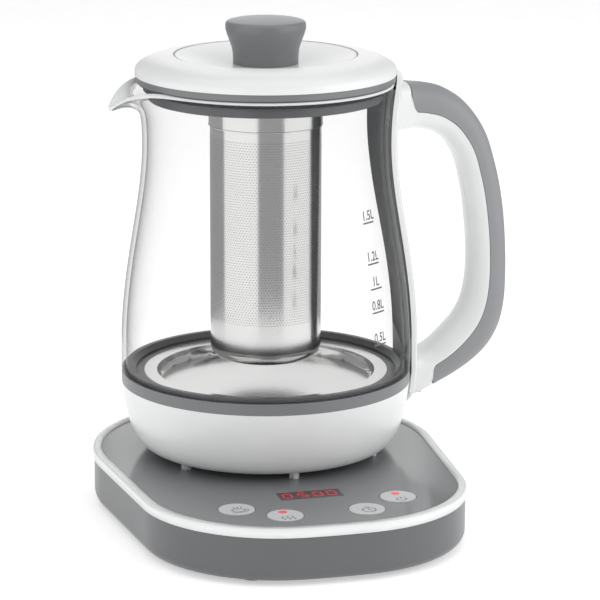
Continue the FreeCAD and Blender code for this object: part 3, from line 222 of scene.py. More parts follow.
@dataclass(frozen=True)
class Finish:
    """One finish and the material that shows it."""

    name: str
    colour: Colour
    roughness: float
    grain: Grain = Grain.MOULDED
    metallic: float = 0.0
    coat: float = 0.0
    relief: float = 0.1
    glow: float = 0.0

    def material(self) -> bpy.types.Material:
        """The finish's material, made once.

        Returns:
            The material.
        """
        known = bpy.data.materials.get(self.name)
        if known is not None:
            return known
        material = bpy.data.materials.new(self.name)
        material.use_nodes = True
        graph = Graph(material.node_tree)
        shader = next(n for n in graph.tree.nodes if n.type == "BSDF_PRINCIPLED")
        shader.inputs["Metallic"].default_value = self.metallic
        shader.inputs["Coat Weight"].default_value = self.coat
        shader.inputs["Coat Roughness"].default_value = 0.06
        if self.grain is Grain.CLEAR:
            self.make_clear(graph, shader)
        else:
            self.make_solid(graph, shader)
        if self.glow:
            shader.inputs["Emission Strength"].default_value = self.glow
        return material

    def height(self, graph: Graph) -> tuple[Wire, float]:
        """The surface's relief.

        Args:
            graph: The material's tree.

        Returns:
            The relief from 0 to 1, and its depth in metres.
        """
        if self.grain is Grain.BRUSHED_ROUND:
            centre = DATUM.place(0, 0, 0)
            own = graph.stretched((1, 1, 0), (-centre[0], -centre[1], 0))
            radius = graph.node("ShaderNodeVectorMath", {"operation": "LENGTH"}, {0: own}, "Value")
            ring = graph.node("ShaderNodeCombineXYZ", {}, {0: radius * 2600.0})
            return graph.noise(ring, 1.0, 6.0), 0.00003
        if self.grain is Grain.BRUSHED_BAND:
            return graph.noise(graph.stretched((60, 60, 9000)), 1.0, 5.0), 0.00002
        if self.grain is Grain.CAST:
            return graph.noise(graph.stretched((1, 1, 1)), 900.0, 4.0), 0.00012
        if self.grain in (Grain.POLISHED, Grain.LIT, Grain.PRINT):
            return graph.noise(graph.stretched((1, 1, 1)), 60.0, 2.0), 0.00004
        return graph.noise(graph.stretched((1, 1, 1)), 3200.0, 2.0), 0.00003

    def make_solid(self, graph: Graph, shader: bpy.types.Node) -> None:
        """Wires a surface that light doesn't pass.

        Args:
            graph: The material's tree.
            shader: The node that is wired.
        """
        relief, depth = self.height(graph)
        cloud = graph.noise(graph.stretched((1, 1, 1)), 34.0, 4.0)
        dark = tuple(0.93 * part for part in self.colour)
        light = tuple(min(1.0, 1.05 * part) for part in self.colour)
        tint = graph.mixed((0.55 * cloud + 0.45 * relief).clamped(), dark, light)
        link = graph.tree.links.new
        link(tint.socket, shader.inputs["Base Color"])
        rough = (self.roughness * (0.82 + 0.24 * cloud + 0.12 * relief)).clamped()
        link(rough.socket, shader.inputs["Roughness"])
        links = {"Strength": self.relief, "Distance": depth, "Height": relief}
        bump = graph.node("ShaderNodeBump", {}, links)
        link(bump.socket, shader.inputs["Normal"])
        if self.glow:
            link(tint.socket, shader.inputs["Emission Color"])

    def make_clear(self, graph: Graph, shader: bpy.types.Node) -> None:
        """Wires clear glass that shows at its edges and in its highlights, with a painted highlight band
        along its lip and a painted dark line just below that band.

        Args:
            graph: The material's tree.
            shader: The node that is wired.
        """
        shader.inputs["IOR"].default_value = 1.5
        shader.inputs["Specular IOR Level"].default_value = 0.12
        facing = graph.node("ShaderNodeLayerWeight", {}, {"Blend": 0.5}, "Facing")
        streak = graph.noise(graph.stretched((9, 9, 2)), 1.0, 2.0)
        mark = graph.node("ShaderNodeAttribute", {"attribute_name": PAINTED_RIM_ATTRIBUTE}, {}, "Fac")
        # painted highlight: a pale, nearly opaque band along the top of the lip
        painted_rim_highlight = ((mark - 0.42) / 0.12).clamped()
        # painted shade: a dark line along the lip, just below the painted highlight band
        line = (1.0 - 5.0 * (mark - 0.3).sum_of("ABSOLUTE")).clamped()
        wall = 0.03 + 0.26 * facing**3.4 + 0.80 * facing**8.0
        shows = (wall + 0.80 * painted_rim_highlight + 0.50 * line).clamped()
        link = graph.tree.links.new
        link(graph.mixed(painted_rim_highlight, self.colour, (0.82, 0.83, 0.83)).socket, shader.inputs["Base Color"])
        link(shows.socket, shader.inputs["Alpha"])
        link((self.roughness * (0.6 + 0.8 * streak)).socket, shader.inputs["Roughness"])


WHITE = Finish("white_satin", (0.80, 0.81, 0.805), 0.30, coat=0.15, relief=0.12)
GREY = Finish("grey_satin", (0.175, 0.178, 0.188), 0.36, coat=0.1, relief=0.22)
GREY_SOFT = Finish("grip_soft", (0.255, 0.259, 0.270), 0.46, relief=0.35)
# a darker copy of the grey plastic: painted shade for the base's side wall and the ring under the lid
SHADED_GREY = Finish("grey_painted_shade", (0.108, 0.111, 0.116), 0.34, coat=0.1, relief=0.22)
PANEL = Finish("panel_gloss_grey", (0.190, 0.195, 0.201), 0.15, Grain.POLISHED, coat=0.1, relief=0.02)
BUTTON = Finish("button_satin", (0.60, 0.61, 0.62), 0.34, relief=0.15)
COVER = Finish("cover_textured", (0.14, 0.14, 0.15), 0.58, Grain.CAST, relief=0.3)
RUBBER = Finish("rubber_dark", (0.035, 0.035, 0.037), 0.72, relief=0.4)
SEAL = Finish("silicone_dark", (0.085, 0.087, 0.092), 0.36, relief=0.25)
GLAND = Finish("gland_grey", (0.09, 0.09, 0.095), 0.6, relief=0.35)
STEEL = Finish("steel_brushed_round", (0.60, 0.60, 0.595), 0.17, Grain.BRUSHED_ROUND, 1.0, relief=0.12)
TUBE_STEEL = Finish("steel_brushed_band", (0.70, 0.70, 0.695), 0.15, Grain.BRUSHED_BAND, 1.0, relief=0.08)
SCREW_STEEL = Finish("screw_zinc", (0.52, 0.52, 0.52), 0.34, Grain.CAST, 1.0, relief=0.2)
ALUMINIUM = Finish("aluminium_cast", (0.60, 0.61, 0.62), 0.45, Grain.CAST, 1.0, relief=0.5)
BRASS = Finish("brass_plated", (0.62, 0.46, 0.22), 0.3, Grain.BRUSHED_ROUND, 1.0)
BOARD = Finish("laminate_green", (0.03, 0.13, 0.06), 0.5, Grain.CAST, relief=0.2)
BLACK = Finish("black_moulded", (0.02, 0.02, 0.022), 0.5)
WINDOW = Finish("window_dark", (0.022, 0.012, 0.012), 0.1, Grain.POLISHED, coat=0.6, relief=0.04)
GLASS = Finish("glass_clear", (0.055, 0.058, 0.058), 0.03, Grain.CLEAR)
PRINT = Finish("print_grey", (0.10, 0.10, 0.105), 0.5, Grain.PRINT)
ICON = Finish("icon_grey", (0.10, 0.10, 0.11), 0.5, Grain.PRINT)
HOLE = Finish("hole_shade", (0.11, 0.11, 0.112), 0.6)
DIGIT = Finish("digit_red", (0.62, 0.010, 0.016), 0.4, Grain.LIT, glow=0.45)
LAMP = Finish("lamp_red", (0.85, 0.02, 0.03), 0.25, Grain.LIT, coat=0.5, glow=0.3)


@dataclass
class Datum:
    """The kettle's axis and the level of the panel that it stands on, in metres."""

    x: float = 0.0
    y: float = 0.0
    panel: float = 0.0

    def read(self) -> None:
        """Takes the axis from the clamp ring and the level from the base's panel."""
        low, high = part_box("clamp_ring")
        self.x = (low.x + high.x) / 2
        self.y = (low.y + high.y) / 2
        self.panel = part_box("base_panel")[1].z

    def place(self, x: float, y: float, z: float) -> Place:
        """A spot given in millimetres from the axis and the panel, in metres in the frame."""
        return (self.x + x * MM, self.y + y * MM, self.panel + z * MM)

    def round(self, radius: float, angle: float, level: float) -> Place:
        """A spot at a radius, an angle in radians and a level."""
        return self.place(radius * math.cos(angle), radius * math.sin(angle), level)


DATUM = Datum()


def dressed(piece: bpy.types.Object, body: str, slot: str, *nodes: str) -> bpy.types.Object:
    """Hands a finished piece to its body.

    Args:
        piece: The piece, with its place in its mesh.
        body: The body that it rides on.
        slot: The record's material slot that it belongs to; not used.
        nodes: The nodes that it stands for.

    Returns:
        The piece.
    """
    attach(piece, body)
    if nodes:
        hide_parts(*nodes)
    LOG.info("%s: %d faces on %s", piece.name, len(piece.data.polygons), body)
    return piece


def placed(name: str, data: bpy.types.ID) -> bpy.types.Object:
    """A new object in the scene that shows a mesh, a curve, a light or a camera.

    Args:
        name: The object's name.
        data: What it shows.

    Returns:
        The object.
    """
    thing = bpy.data.objects.new(name, data)
    bpy.context.scene.collection.objects.link(thing)
    return thing


def linked(name: str, mesh: bpy.types.Mesh, finish: Finish) -> bpy.types.Object:
    """An object in the scene that shows a mesh in one finish.

    Args:
        name: The object's name.
        mesh: Its mesh.
        finish: Its finish.

    Returns:
        The object.
    """
    mesh.materials.clear()
    mesh.materials.append(finish.material())
    return placed(name, mesh)


def tidied(
    mesh: bpy.types.Mesh, angle: float = 30.0, outward: bool = False, gap: float = 2e-6, thin: float = 0.0,
) -> bpy.types.Mesh:
    """Merges a mesh's doubles and shades it smooth up to an angle.

    Args:
        mesh: The mesh, changed in place.
        angle: The sharpest bend in degrees that is still shaded smooth.
        outward: True to turn all faces outwards.
        gap: How near two corners are merged, in metres.
        thin: The edge length in metres below which a face is dissolved, or 0 for none.

    Returns:
        The same mesh.
    """
    work = bmesh.new()
    work.from_mesh(mesh)
    bmesh.ops.remove_doubles(work, verts=work.verts, dist=gap)
    if thin:
        bmesh.ops.dissolve_degenerate(work, edges=work.edges, dist=thin)
    if outward:
        bmesh.ops.recalc_face_normals(work, faces=work.faces)
    work.to_mesh(mesh)
    work.free()
    mesh.shade_smooth()
    mesh.set_sharp_from_angle(angle=math.radians(angle))
    return mesh


def skin(rings: int, count: int) -> list[tuple[int, ...]]:
    """The four-sided faces between a row of rings of equally many spots.

    Args:
        rings: The number of rings.
        count: The number of spots in each.

    Returns:
        The faces, as numbers of spots.
    """
    return [
        (ring * count + step, ring * count + (step + 1) % count,
         (ring + 1) * count + (step + 1) % count, (ring + 1) * count + step)
        for ring in range(rings - 1) for step in range(count)
    ]


def baked(piece: bpy.types.Object) -> bpy.types.Mesh:
    """The plain mesh that an object's modifiers or curve make; the object is removed.

    Args:
        piece: A linked object.

    Returns:
        Its evaluated mesh.
    """
    bpy.context.view_layer.update()
    scene_graph = bpy.context.evaluated_depsgraph_get()
    mesh = bpy.data.meshes.new_from_object(piece.evaluated_get(scene_graph))
    bpy.data.objects.remove(piece)
    return mesh


def lathed(name: str, outline: Sequence[Spot], finish: Finish, sides: int = 160) -> bpy.types.Object:
    """A closed outline turned about the kettle's axis.

    Args:
        name: The piece's name.
        outline: Its (radius, level) corners in millimetres, in order.
        finish: Its finish.
        sides: The number of sides of the turn.

    Returns:
        The piece.
    """
    points = [DATUM.round(r, TURN * turn / sides, z) for turn in range(sides) for r, z in outline]
    count = len(outline)
    faces = []
    for turn in range(sides):
        near, far = turn * count, (turn + 1) % sides * count
        for step in range(count):
            after = (step + 1) % count
            if outline[step][0] > 0 or outline[after][0] > 0:
                faces.append((near + step, far + step, far + after, near + after))
    mesh = bpy.data.meshes.new(name)
    mesh.from_pydata(points, [], faces)
    return linked(name, tidied(mesh, outward=True, thin=1e-8), finish)


@dataclass(frozen=True)
class Carried:
    """A node of the frame that is shown in its own shape, shaded smooth, in one finish."""

    node: str
    body: str
    slot: str
    finish: Finish
    angle: float = 30.0

    def make(self) -> None:
        """Copies the node's mesh, merges it and puts it in the node's place."""
        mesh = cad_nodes()[self.node].data.copy()
        mesh.name = self.node + "_shown"
        piece = linked(self.node + "_shown", tidied(mesh, self.angle), self.finish)
        soften = piece.modifiers.new("even_shading", "WEIGHTED_NORMAL")
        soften.keep_sharp = True
        dressed(piece, self.body, self.slot, self.node)


FRAME: dict[str, object] = {}


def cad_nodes() -> dict[str, bpy.types.Object]:
    """The frame's nodes by name."""
    return FRAME["nodes"]


class Tree:
    """A Geometry Nodes tree whose sizes are named inputs."""

    def __init__(self, name: str, finish: Finish, sizes: Mapping[str, float | int]) -> None:
        """Makes the tree's inputs and output.

        Args:
            name: The tree's name.
            finish: The finish of what it makes.
            sizes: Each input's name and value; whole numbers become whole-number inputs.
        """
        self.group = bpy.data.node_groups.new(name, "GeometryNodeTree")
        self.graph = Graph(self.group)
        self.finish = finish
        self.sizes = sizes
        self.sockets = {}
        for title, value in sizes.items():
            kind = "NodeSocketInt" if isinstance(value, int) else "NodeSocketFloat"
            self.sockets[title] = self.group.interface.new_socket(title, in_out="INPUT", socket_type=kind)
        self.group.interface.new_socket("Geometry", in_out="OUTPUT", socket_type="NodeSocketGeometry")
        self.entry = self.group.nodes.new("NodeGroupInput")

    def size(self, title: str) -> Wire:
        """One of the tree's inputs."""
        return Wire(self.graph, self.entry.outputs[title])

    def piece(self, name: str, geometry: Wire) -> bpy.types.Object:
        """Ends the tree and puts it on a new object.

        Args:
            name: The object's name.
            geometry: What the tree makes.

        Returns:
            The object, with the tree as its modifier.
        """
        whole = self.graph.node("GeometryNodeRealizeInstances", {}, {0: geometry})
        links = {"Geometry": whole, "Material": self.finish.material()}
        shown = self.graph.node("GeometryNodeSetMaterial", {}, links)
        exit_node = self.group.nodes.new("NodeGroupOutput")
        self.group.links.new(shown.socket, exit_node.inputs[0])
        piece = linked(name, bpy.data.meshes.new(name), self.finish)
        modifier = piece.modifiers.new(name, "NODES")
        modifier.node_group = self.group
        for title, value in self.sizes.items():
            modifier[self.sockets[title].identifier] = value
        return piece


@dataclass
class GlassWall:
    """The clear wall with its drawn-out spout, in millimetres over the panel."""

    levels: tuple[float, ...] = (43.1, 63.0, 98.0, 127.0, 157.0, 190.6)
    radii: tuple[float, ...] = (73.8, 73.5, 70.0, 65.3, 62.2, 64.6)
    end_slopes: Spot = (0.0, 0.15)
    wall: float = 2.4
    spout_overhang: float = 15.4
    spout_drop: float = 12.0
    spout_half_angle: float = 38.0
    spout_start: float = 0.79
    spout_round: float = 3.5
    # the depth below the rim over which the painted highlight band and dark line are placed
    lip: float = 2.6
    lip_ease: float = 0.7
    curve_range: Spot = (60.0, 16.0)
    curve_steps: int = 18
    around: int = 193
    rows: int = 84

    def slopes(self) -> list[float]:
        """The side's slope at each station, by the rule of a smooth spline.

        Returns:
            One slope for each station.
        """
        count = len(self.levels)
        slopes = [0.0] * count
        slopes[0], slopes[-1] = self.end_slopes
        for _ in range(60):
            for here in range(1, count - 1):
                below = self.levels[here] - self.levels[here - 1]
                above = self.levels[here + 1] - self.levels[here]
                rise_below = (self.radii[here] - self.radii[here - 1]) / below
                rise_above = (self.radii[here + 1] - self.radii[here]) / above
                pull = 3 * (rise_below / below + rise_above / above)
                pull -= slopes[here - 1] / below + slopes[here + 1] / above
                slopes[here] = pull / (2 / below + 2 / above)
        return slopes

    def radius(self, level: float) -> float:
        """The outer radius at a level.

        Args:
            level: A level between the foot and the rim.

        Returns:
            The radius in millimetres.
        """
        slopes = self.slopes()
        index = max(i for i in range(len(self.levels) - 1) if self.levels[i] <= max(level, self.levels[0]))
        span = self.levels[index + 1] - self.levels[index]
        share = (level - self.levels[index]) / span
        first = self.radii[index] * (1 + 2 * share) * (1 - share) ** 2
        last = self.radii[index + 1] * share**2 * (3 - 2 * share)
        lean = slopes[index] * share * (1 - share) ** 2 - slopes[index + 1] * share**2 * (1 - share)
        return first + last + lean * span

    def make(self) -> None:
        """Builds the wall as a grid that is wrapped round the axis and pulled out at the spout."""
        foot, rim = self.levels[0], self.levels[-1]
        least, room = self.curve_range
        steps = [step / self.curve_steps for step in range(self.curve_steps + 1)]
        points = [(s, (self.radius(foot + (rim - foot) * s) - least) / room) for s in steps]
        tree = Tree("glass_wall", GLASS, {
            "Foot": foot, "Rim": rim, "Overhang": self.spout_overhang, "Drop": self.spout_drop,
            "Half Angle": math.radians(self.spout_half_angle), "Start": self.spout_start,
            "Round": math.radians(self.spout_round), "Around": self.around, "Up": self.rows,
        })
        graph = tree.graph
        grid = graph.node("GeometryNodeMeshGrid", {}, {
            "Size X": 1.0, "Size Y": 1.0, "Vertices X": tree.size("Around"), "Vertices Y": tree.size("Up"),
        })
        own = graph.node("GeometryNodeInputPosition")
        across = graph.node("ShaderNodeSeparateXYZ", {}, {0: own}, "X")
        up = Wire(graph, across.socket.node.outputs["Y"]) + 0.5
        angle = (across + 0.5) * TURN
        side = graph.node("ShaderNodeFloatCurve", {"points": points}, {"Value": up}) * room + least
        off = angle - math.pi
        bent = (off * off + tree.size("Round") * tree.size("Round")).sum_of("SQRT")
        wedge = (1.0 - (bent - tree.size("Round")) / tree.size("Half Angle")).clamped() ** 2.0
        growth = ((up - tree.size("Start")) / (1.0 - tree.size("Start"))).clamped() ** 4.5
        radius = (side + tree.size("Overhang") * wedge * growth) * MM
        level = tree.size("Foot") + (tree.size("Rim") - tree.size("Foot")) * up
        level = (level - tree.size("Drop") * wedge * wedge * growth) * MM
        spot = graph.node("ShaderNodeCombineXYZ", {}, {
            0: radius * angle.sum_of("COSINE") + DATUM.x,
            1: radius * angle.sum_of("SINE") + DATUM.y,
            2: level + DATUM.panel,
        })
        wrapped = graph.node("GeometryNodeSetPosition", {}, {"Geometry": grid, "Position": spot})
        closed = graph.node("GeometryNodeMergeByDistance", {}, {"Geometry": wrapped, "Distance": 2e-6})
        piece = tree.piece("glass_wall_rough", closed)
        thick = piece.modifiers.new("wall", "SOLIDIFY")
        thick.thickness = self.wall * MM
        thick.offset = -1.0
        thick.use_even_offset = True
        ease = piece.modifiers.new("lip", "BEVEL")
        ease.width = self.lip_ease * MM
        ease.segments = 3
        ease.limit_method = "ANGLE"
        ease.angle_limit = math.radians(50)
        mesh = baked(piece)
        mesh.shade_smooth()
        # the mask of the painted highlight band and painted dark line, stored on the glass's corners
        painted_rim_mask = [self.painted_rim_mask(vertex.co) for vertex in mesh.vertices]
        mesh.attributes.new(PAINTED_RIM_ATTRIBUTE, "FLOAT", "POINT").data.foreach_set("value", painted_rim_mask)
        dressed(linked("glass_wall", mesh, GLASS), "kettle", "glass", "glass_body")

    def painted_rim_mask(self, spot: Vector) -> float:
        """How near a spot of the wall is to the rim, for the painted highlight band and the painted dark line
        along it.

        Args:
            spot: The spot in the frame.

        Returns:
            1 on the rim, 0 where the lip ends.
        """
        off = abs(math.atan2(spot.y - DATUM.y, spot.x - DATUM.x)) - math.pi
        wedge = max(0.0, 1.0 - abs(off) / math.radians(self.spout_half_angle)) ** 2
        rim = self.levels[-1] - self.spout_drop * wedge**2
        return min(1.0, max(0.0, 1.0 - (rim - (spot.z - DATUM.panel) / MM) / self.lip))


@dataclass
class LitreScale:
    """The litre marks printed on the glass, each a dash with its number above it."""

    glass: GlassWall
    marks: tuple[tuple[str, float], ...] = (
        ("1.5L", 127.0), ("1.2L", 106.8), ("1L", 94.4), ("0.8L", 82.7), ("0.5L", 66.5),
    )
    left: float = -57.5
    right: float = -50.3
    letter: float = 5.2
    dash: float = 0.8
    lift: float = 0.06
    thickness: float = 0.02
    boldness: float = 0.09
    narrow: float = 0.82
    gap: float = 1.5

    def wrapped(self, x: float, y: float, rise: float) -> Place:
        """A spot of the flat print, laid on the glass.

        Args:
            x: Millimetres to the right of the dashes' left end.
            y: The level.
            rise: Millimetres over the glass.

        Returns:
            The spot in the frame.
        """
        radius = self.glass.radius(y)
        return DATUM.round(radius + self.lift + rise, math.radians(self.left) + x / radius, y)

    def number(self, name: str, text: str, run: float, level: float) -> bpy.types.Mesh:
        """A mark's number, laid on the glass over its dash.

        Args:
            name: The mark's name.
            text: The number.
            run: The dash's length in millimetres.
            level: The dash's level.

        Returns:
            The number's mesh.
        """
        curve = bpy.data.curves.new(name, "FONT")
        curve.body = text
        curve.size = self.letter * 1.25
        curve.align_x = "CENTER"
        curve.extrude = self.thickness
        curve.offset = self.boldness
        curve.resolution_u = 4
        mesh = baked(placed(name, curve))
        for vertex in mesh.vertices:
            x, y, z = vertex.co
            vertex.co = self.wrapped(run / 2 + x * self.narrow, level + self.gap + y, z)
        return mesh

    def add_dash(self, mesh: bpy.types.Mesh, run: float, level: float) -> None:
        """Merges a number's doubles and adds its dash, a thin bar bent round the glass.

        Args:
            mesh: The number's mesh, changed in place.
            run: The dash's length in millimetres.
            level: The dash's level.
        """
        work = bmesh.new()
        work.from_mesh(mesh)
        bmesh.ops.remove_doubles(work, verts=work.verts, dist=1e-7)
        steps, thick = 8, self.thickness
        sections = [
            [
                work.verts.new(self.wrapped(run * step / steps, level + side * self.dash / 2, rise))
                for side, rise in ((-1, -thick), (1, -thick), (1, thick), (-1, thick))
            ]
            for step in range(steps + 1)
        ]
        for near, far in zip(sections, sections[1:]):
            for edge in range(4):
                after = (edge + 1) % 4
                work.faces.new((near[edge], near[after], far[after], far[edge]))
        work.faces.new(sections[0][::-1])
        work.faces.new(sections[-1])
        bmesh.ops.recalc_face_normals(work, faces=work.faces)
        work.to_mesh(mesh)
        work.free()

    def make(self) -> None:
        """Prints every dash and number."""
        for text, level in self.marks:
            name = "litre_mark_" + text.replace(".", "_")
            run = math.radians(self.right - self.left) * self.glass.radius(level)
            mesh = self.number(name, text, run, level)
            self.add_dash(mesh, run, level)
            dressed(linked(name, mesh, PRINT), "kettle", "glass")


@dataclass
class Infuser:
    """The steel tube with its rows of fine holes, in millimetres over the panel."""

    radius: float = 28.15
    wall: float = 0.6
    low: float = 49.3
    high: float = 185.9
    corner: float = 6.5
    holes_low: float = 71.0
    holes_high: float = 165.6
    pitch: float = 1.5
    hole: float = 0.26
    rim_ease: float = 0.2
    rolled_edge: Spot = (28.55, 169.3)
    rolled_radius: float = 0.45

    def make(self) -> None:
        """Turns the tube and drills its holes."""
        bend = (self.radius - self.corner, self.low + self.corner)
        outline = [
            (0.0, self.low), *self.arc(bend, self.corner),
            (self.radius, self.high - self.rim_ease), (self.radius - self.rim_ease, self.high),
            (self.radius - self.wall, self.high),
            *self.arc(bend, self.corner - self.wall)[::-1], (0.0, self.low + self.wall),
        ]
        tube = lathed("infuser_tube_turned", outline, TUBE_STEEL, 192)
        dressed(tube, "infuser", "steel", "infuser_tube")
        # the holes are shown as dark plugs, painted shade where the wall is open
        dressed(linked("infuser_holes", self.drilled(), HOLE), "infuser", "steel")
        centre, level = self.rolled_edge
        ring = [(centre + self.rolled_radius * math.cos(TURN * step / 12),
                 level + self.rolled_radius * math.sin(TURN * step / 12)) for step in range(12)]
        dressed(lathed("collar_rolled_edge", ring, TUBE_STEEL, 128), "infuser", "steel")

    @staticmethod
    def arc(centre: Spot, radius: float) -> list[Spot]:
        """The tube's bend at its foot, as a quarter of a circle."""
        angles = [-math.pi / 2 + math.pi / 2 * step / 12 for step in range(13)]
        return [(centre[0] + radius * math.cos(a), centre[1] + radius * math.sin(a)) for a in angles]

    def drilled(self) -> bpy.types.Mesh:
        """The holes, as short dark plugs through the wall that paint the shade of the open holes, in
        staggered rows.

        Returns:
            One mesh of all the plugs.
        """
        rows = int((self.holes_high - self.holes_low) / (self.pitch * 0.87))
        around = int(TURN * self.radius / self.pitch)
        tree = Tree("holes", HOLE, {
            "Rows": rows, "Around": around, "Low": self.holes_low * MM, "Row Gap": self.pitch * 0.87 * MM,
            "Radius": (self.radius - self.wall / 2) * MM, "Hole": self.hole * MM,
            "Depth": (self.wall + 0.05) * MM,
        })
        graph = tree.graph
        index = graph.node("GeometryNodeInputIndex")
        row = (index / tree.size("Around")).sum_of("FLOOR")
        column = index - row * tree.size("Around")
        stagger = row.sum_of("MODULO", 2.0) * 0.5
        angle = (column + stagger) / tree.size("Around") * TURN
        outward = graph.node("ShaderNodeCombineXYZ", {}, {0: angle.sum_of("COSINE"), 1: angle.sum_of("SINE")})
        spot = graph.node("ShaderNodeCombineXYZ", {}, {
            0: tree.size("Radius") * angle.sum_of("COSINE") + DATUM.x,
            1: tree.size("Radius") * angle.sum_of("SINE") + DATUM.y,
            2: tree.size("Low") + row * tree.size("Row Gap") + DATUM.panel,
        })
        count = tree.size("Rows") * tree.size("Around")
        points = graph.node("GeometryNodePoints", {}, {"Count": count, "Position": spot})
        aim = graph.node("FunctionNodeAlignRotationToVector", {"axis": "Z"}, {"Vector": outward})
        plug = graph.node("GeometryNodeMeshCylinder", {}, {
            "Vertices": 6, "Radius": tree.size("Hole"), "Depth": tree.size("Depth"),
        })
        links = {"Points": points, "Instance": plug, "Rotation": aim}
        return baked(tree.piece("holes", graph.node("GeometryNodeInstanceOnPoints", {}, links)))


@dataclass
class Handle:
    """The handle's hoop, parted in a white inner half and a grey grip, and the strip on the glass.

    The hoop's middle lines are (distance from the axis, level) in millimetres, the outer one and
    the inner one in pairs from the top root to the bottom root.
    """

    glass: GlassWall
    outer: tuple[Spot, ...] = (
        (66.0, 187.6), (70.5, 187.2), (76.0, 187.0), (83.0, 186.3), (92.0, 184.0), (101.5, 178.2),
        (109.3, 169.7), (115.2, 159.7), (119.0, 148.6), (122.6, 134.5), (125.2, 118.5), (126.6, 101.0),
        (127.0, 84.5), (126.3, 70.5), (123.6, 58.5), (117.8, 48.2), (109.2, 40.2), (99.3, 34.0),
        (89.0, 29.3), (79.2, 25.7), (70.5, 23.6),
    )
    inner: tuple[Spot, ...] = (
        (64.0, 162.4), (69.0, 163.6), (75.0, 163.9), (81.5, 163.0), (88.2, 160.7), (93.6, 156.6),
        (97.7, 151.0), (100.8, 144.5), (103.0, 136.0), (105.1, 125.5), (106.7, 112.5), (107.7, 99.5),
        (107.5, 84.5), (105.0, 72.0), (100.6, 64.0), (95.0, 58.0), (89.8, 53.0), (85.3, 49.4),
        (81.0, 46.9), (77.8, 45.6), (75.0, 45.0),
    )
    half_width: float = 13.2
    root_flare: float = 1.2
    root_span: float = 1.6
    squareness: float = 2.5
    root_squareness: float = 2.0
    grip_start: float = 1.45
    grip_end: float = 18.2
    grip_share: float = 0.41
    corner: float = 0.75
    seam: float = 0.3
    fineness: int = 12
    arc: int = 18
    strip_reach: float = 4.1
    strip_wall: float = 3.0
    strip_top: float = 193.8
    strip_tail: float = 17.0
    strip_shoulder: float = 28.0
    strip_wide: float = 22.0
    strip_narrow: float = 16.0
    strip_ease: float = 0.9
    strip_rows: int = 110
    strip_half: int = 12
    bowl_levels: tuple[Spot, ...] = ((17.0, 69.57), (22.0, 71.4), (26.0, 72.3), (32.0, 73.3), (37.2, 73.7))

    def station(self, line: Sequence[Spot], spot: float) -> Vector:
        """A point of a middle line, by a smooth curve through its spots.

        Args:
            line: The line's spots.
            spot: The place along it, in stations.

        Returns:
            The point, as distance from the axis and level.
        """
        index = min(int(spot), len(line) - 2)
        part = spot - index
        spots = [Vector(line[min(max(index + step, 0), len(line) - 1)]) for step in (-1, 0, 1, 2)]
        start, end = spots[1], spots[2]
        lean_start, lean_end = (end - spots[0]) / 2, (spots[3] - start) / 2
        return (
            start * (1 + 2 * part) * (1 - part) ** 2 + end * part**2 * (3 - 2 * part)
            + lean_start * part * (1 - part) ** 2 - lean_end * part**2 * (1 - part)
        )

    def share(self, spot: float) -> float:
        """The white half's share of the hoop's depth, with round corners where the grip ends.

        Args:
            spot: The place along the hoop, in stations.

        Returns:
            The share, 1 where there is no grip.
        """
        near = min(spot - self.grip_start, self.grip_end - spot)
        if near <= 0:
            return 1.0
        drop = max(0.0, 1 - near / self.corner)
        return self.grip_share + (1 - self.grip_share) * (1 - math.sqrt(1 - drop**2))

    def ring(self, spot: float, white: bool) -> list[Place]:
        """One half's cross-section.

        Args:
            spot: The place along the hoop, in stations.
            white: True for the inner half, False for the grip.

        Returns:
            The section's spots in the frame.
        """
        far, near = self.station(self.outer, spot), self.station(self.inner, spot)
        middle, half = (far + near) / 2, (far - near) / 2
        last = len(self.outer) - 1
        root = math.exp(-((min(spot, last - spot) / self.root_span) ** 2))
        wide = self.half_width + self.root_flare * root
        power = 2 / (self.squareness + self.root_squareness * root)
        split = 2 * self.share(spot) - 1
        if not white:
            split = min(1.0, split + self.seam / half.length)
        turn = self.turn_at(split, power)
        halfway = self.turn_at(2 * self.grip_share - 1, power)
        stops = (math.pi, halfway, turn) if white else (turn, 0.0)
        angles = [stops[0]]
        for start, end in zip(stops, stops[1:]):
            angles += [start + (end - start) * step / self.arc for step in range(1, self.arc + 1)]
        spots = []
        for side, run in ((1, angles), (-1, angles[::-1])):
            for angle in run:
                depth = math.copysign(abs(math.cos(angle)) ** power, math.cos(angle))
                across = side * wide * abs(math.sin(angle)) ** power
                place = middle + half * depth
                spots.append(DATUM.place(place.x, across, place.y))
        return spots

    @staticmethod
    def turn_at(depth: float, power: float) -> float:
        """The section's angle at which it has a depth from -1 to 1."""
        return math.acos(math.copysign(abs(depth) ** (1 / power), depth))

    def half(self, name: str, white: bool, finish: Finish) -> bpy.types.Object:
        """One half of the hoop as a closed piece.

        Args:
            name: The piece's name.
            white: True for the inner half, False for the grip.
            finish: Its finish.

        Returns:
            The piece.
        """
        start, end = (0.0, len(self.outer) - 1.0) if white else (self.grip_start, self.grip_end)
        steps = round((end - start) * self.fineness)
        rings = [self.ring(start + (end - start) * step / steps, white) for step in range(steps + 1)]
        return closed_tube(name, rings, finish)

    def side(self, level: float) -> float:
        """The strip's outer radius at a level.

        Args:
            level: Millimetres over the panel.

        Returns:
            The radius in millimetres.
        """
        if level >= self.glass.levels[0]:
            return self.glass.radius(min(level, self.glass.levels[-1])) + self.strip_reach
        for (low, below), (high, above) in zip(self.bowl_levels, self.bowl_levels[1:]):
            if level <= high:
                return below + (above - below) * (level - low) / (high - low) + self.strip_reach
        return self.glass.radii[0] + self.strip_reach

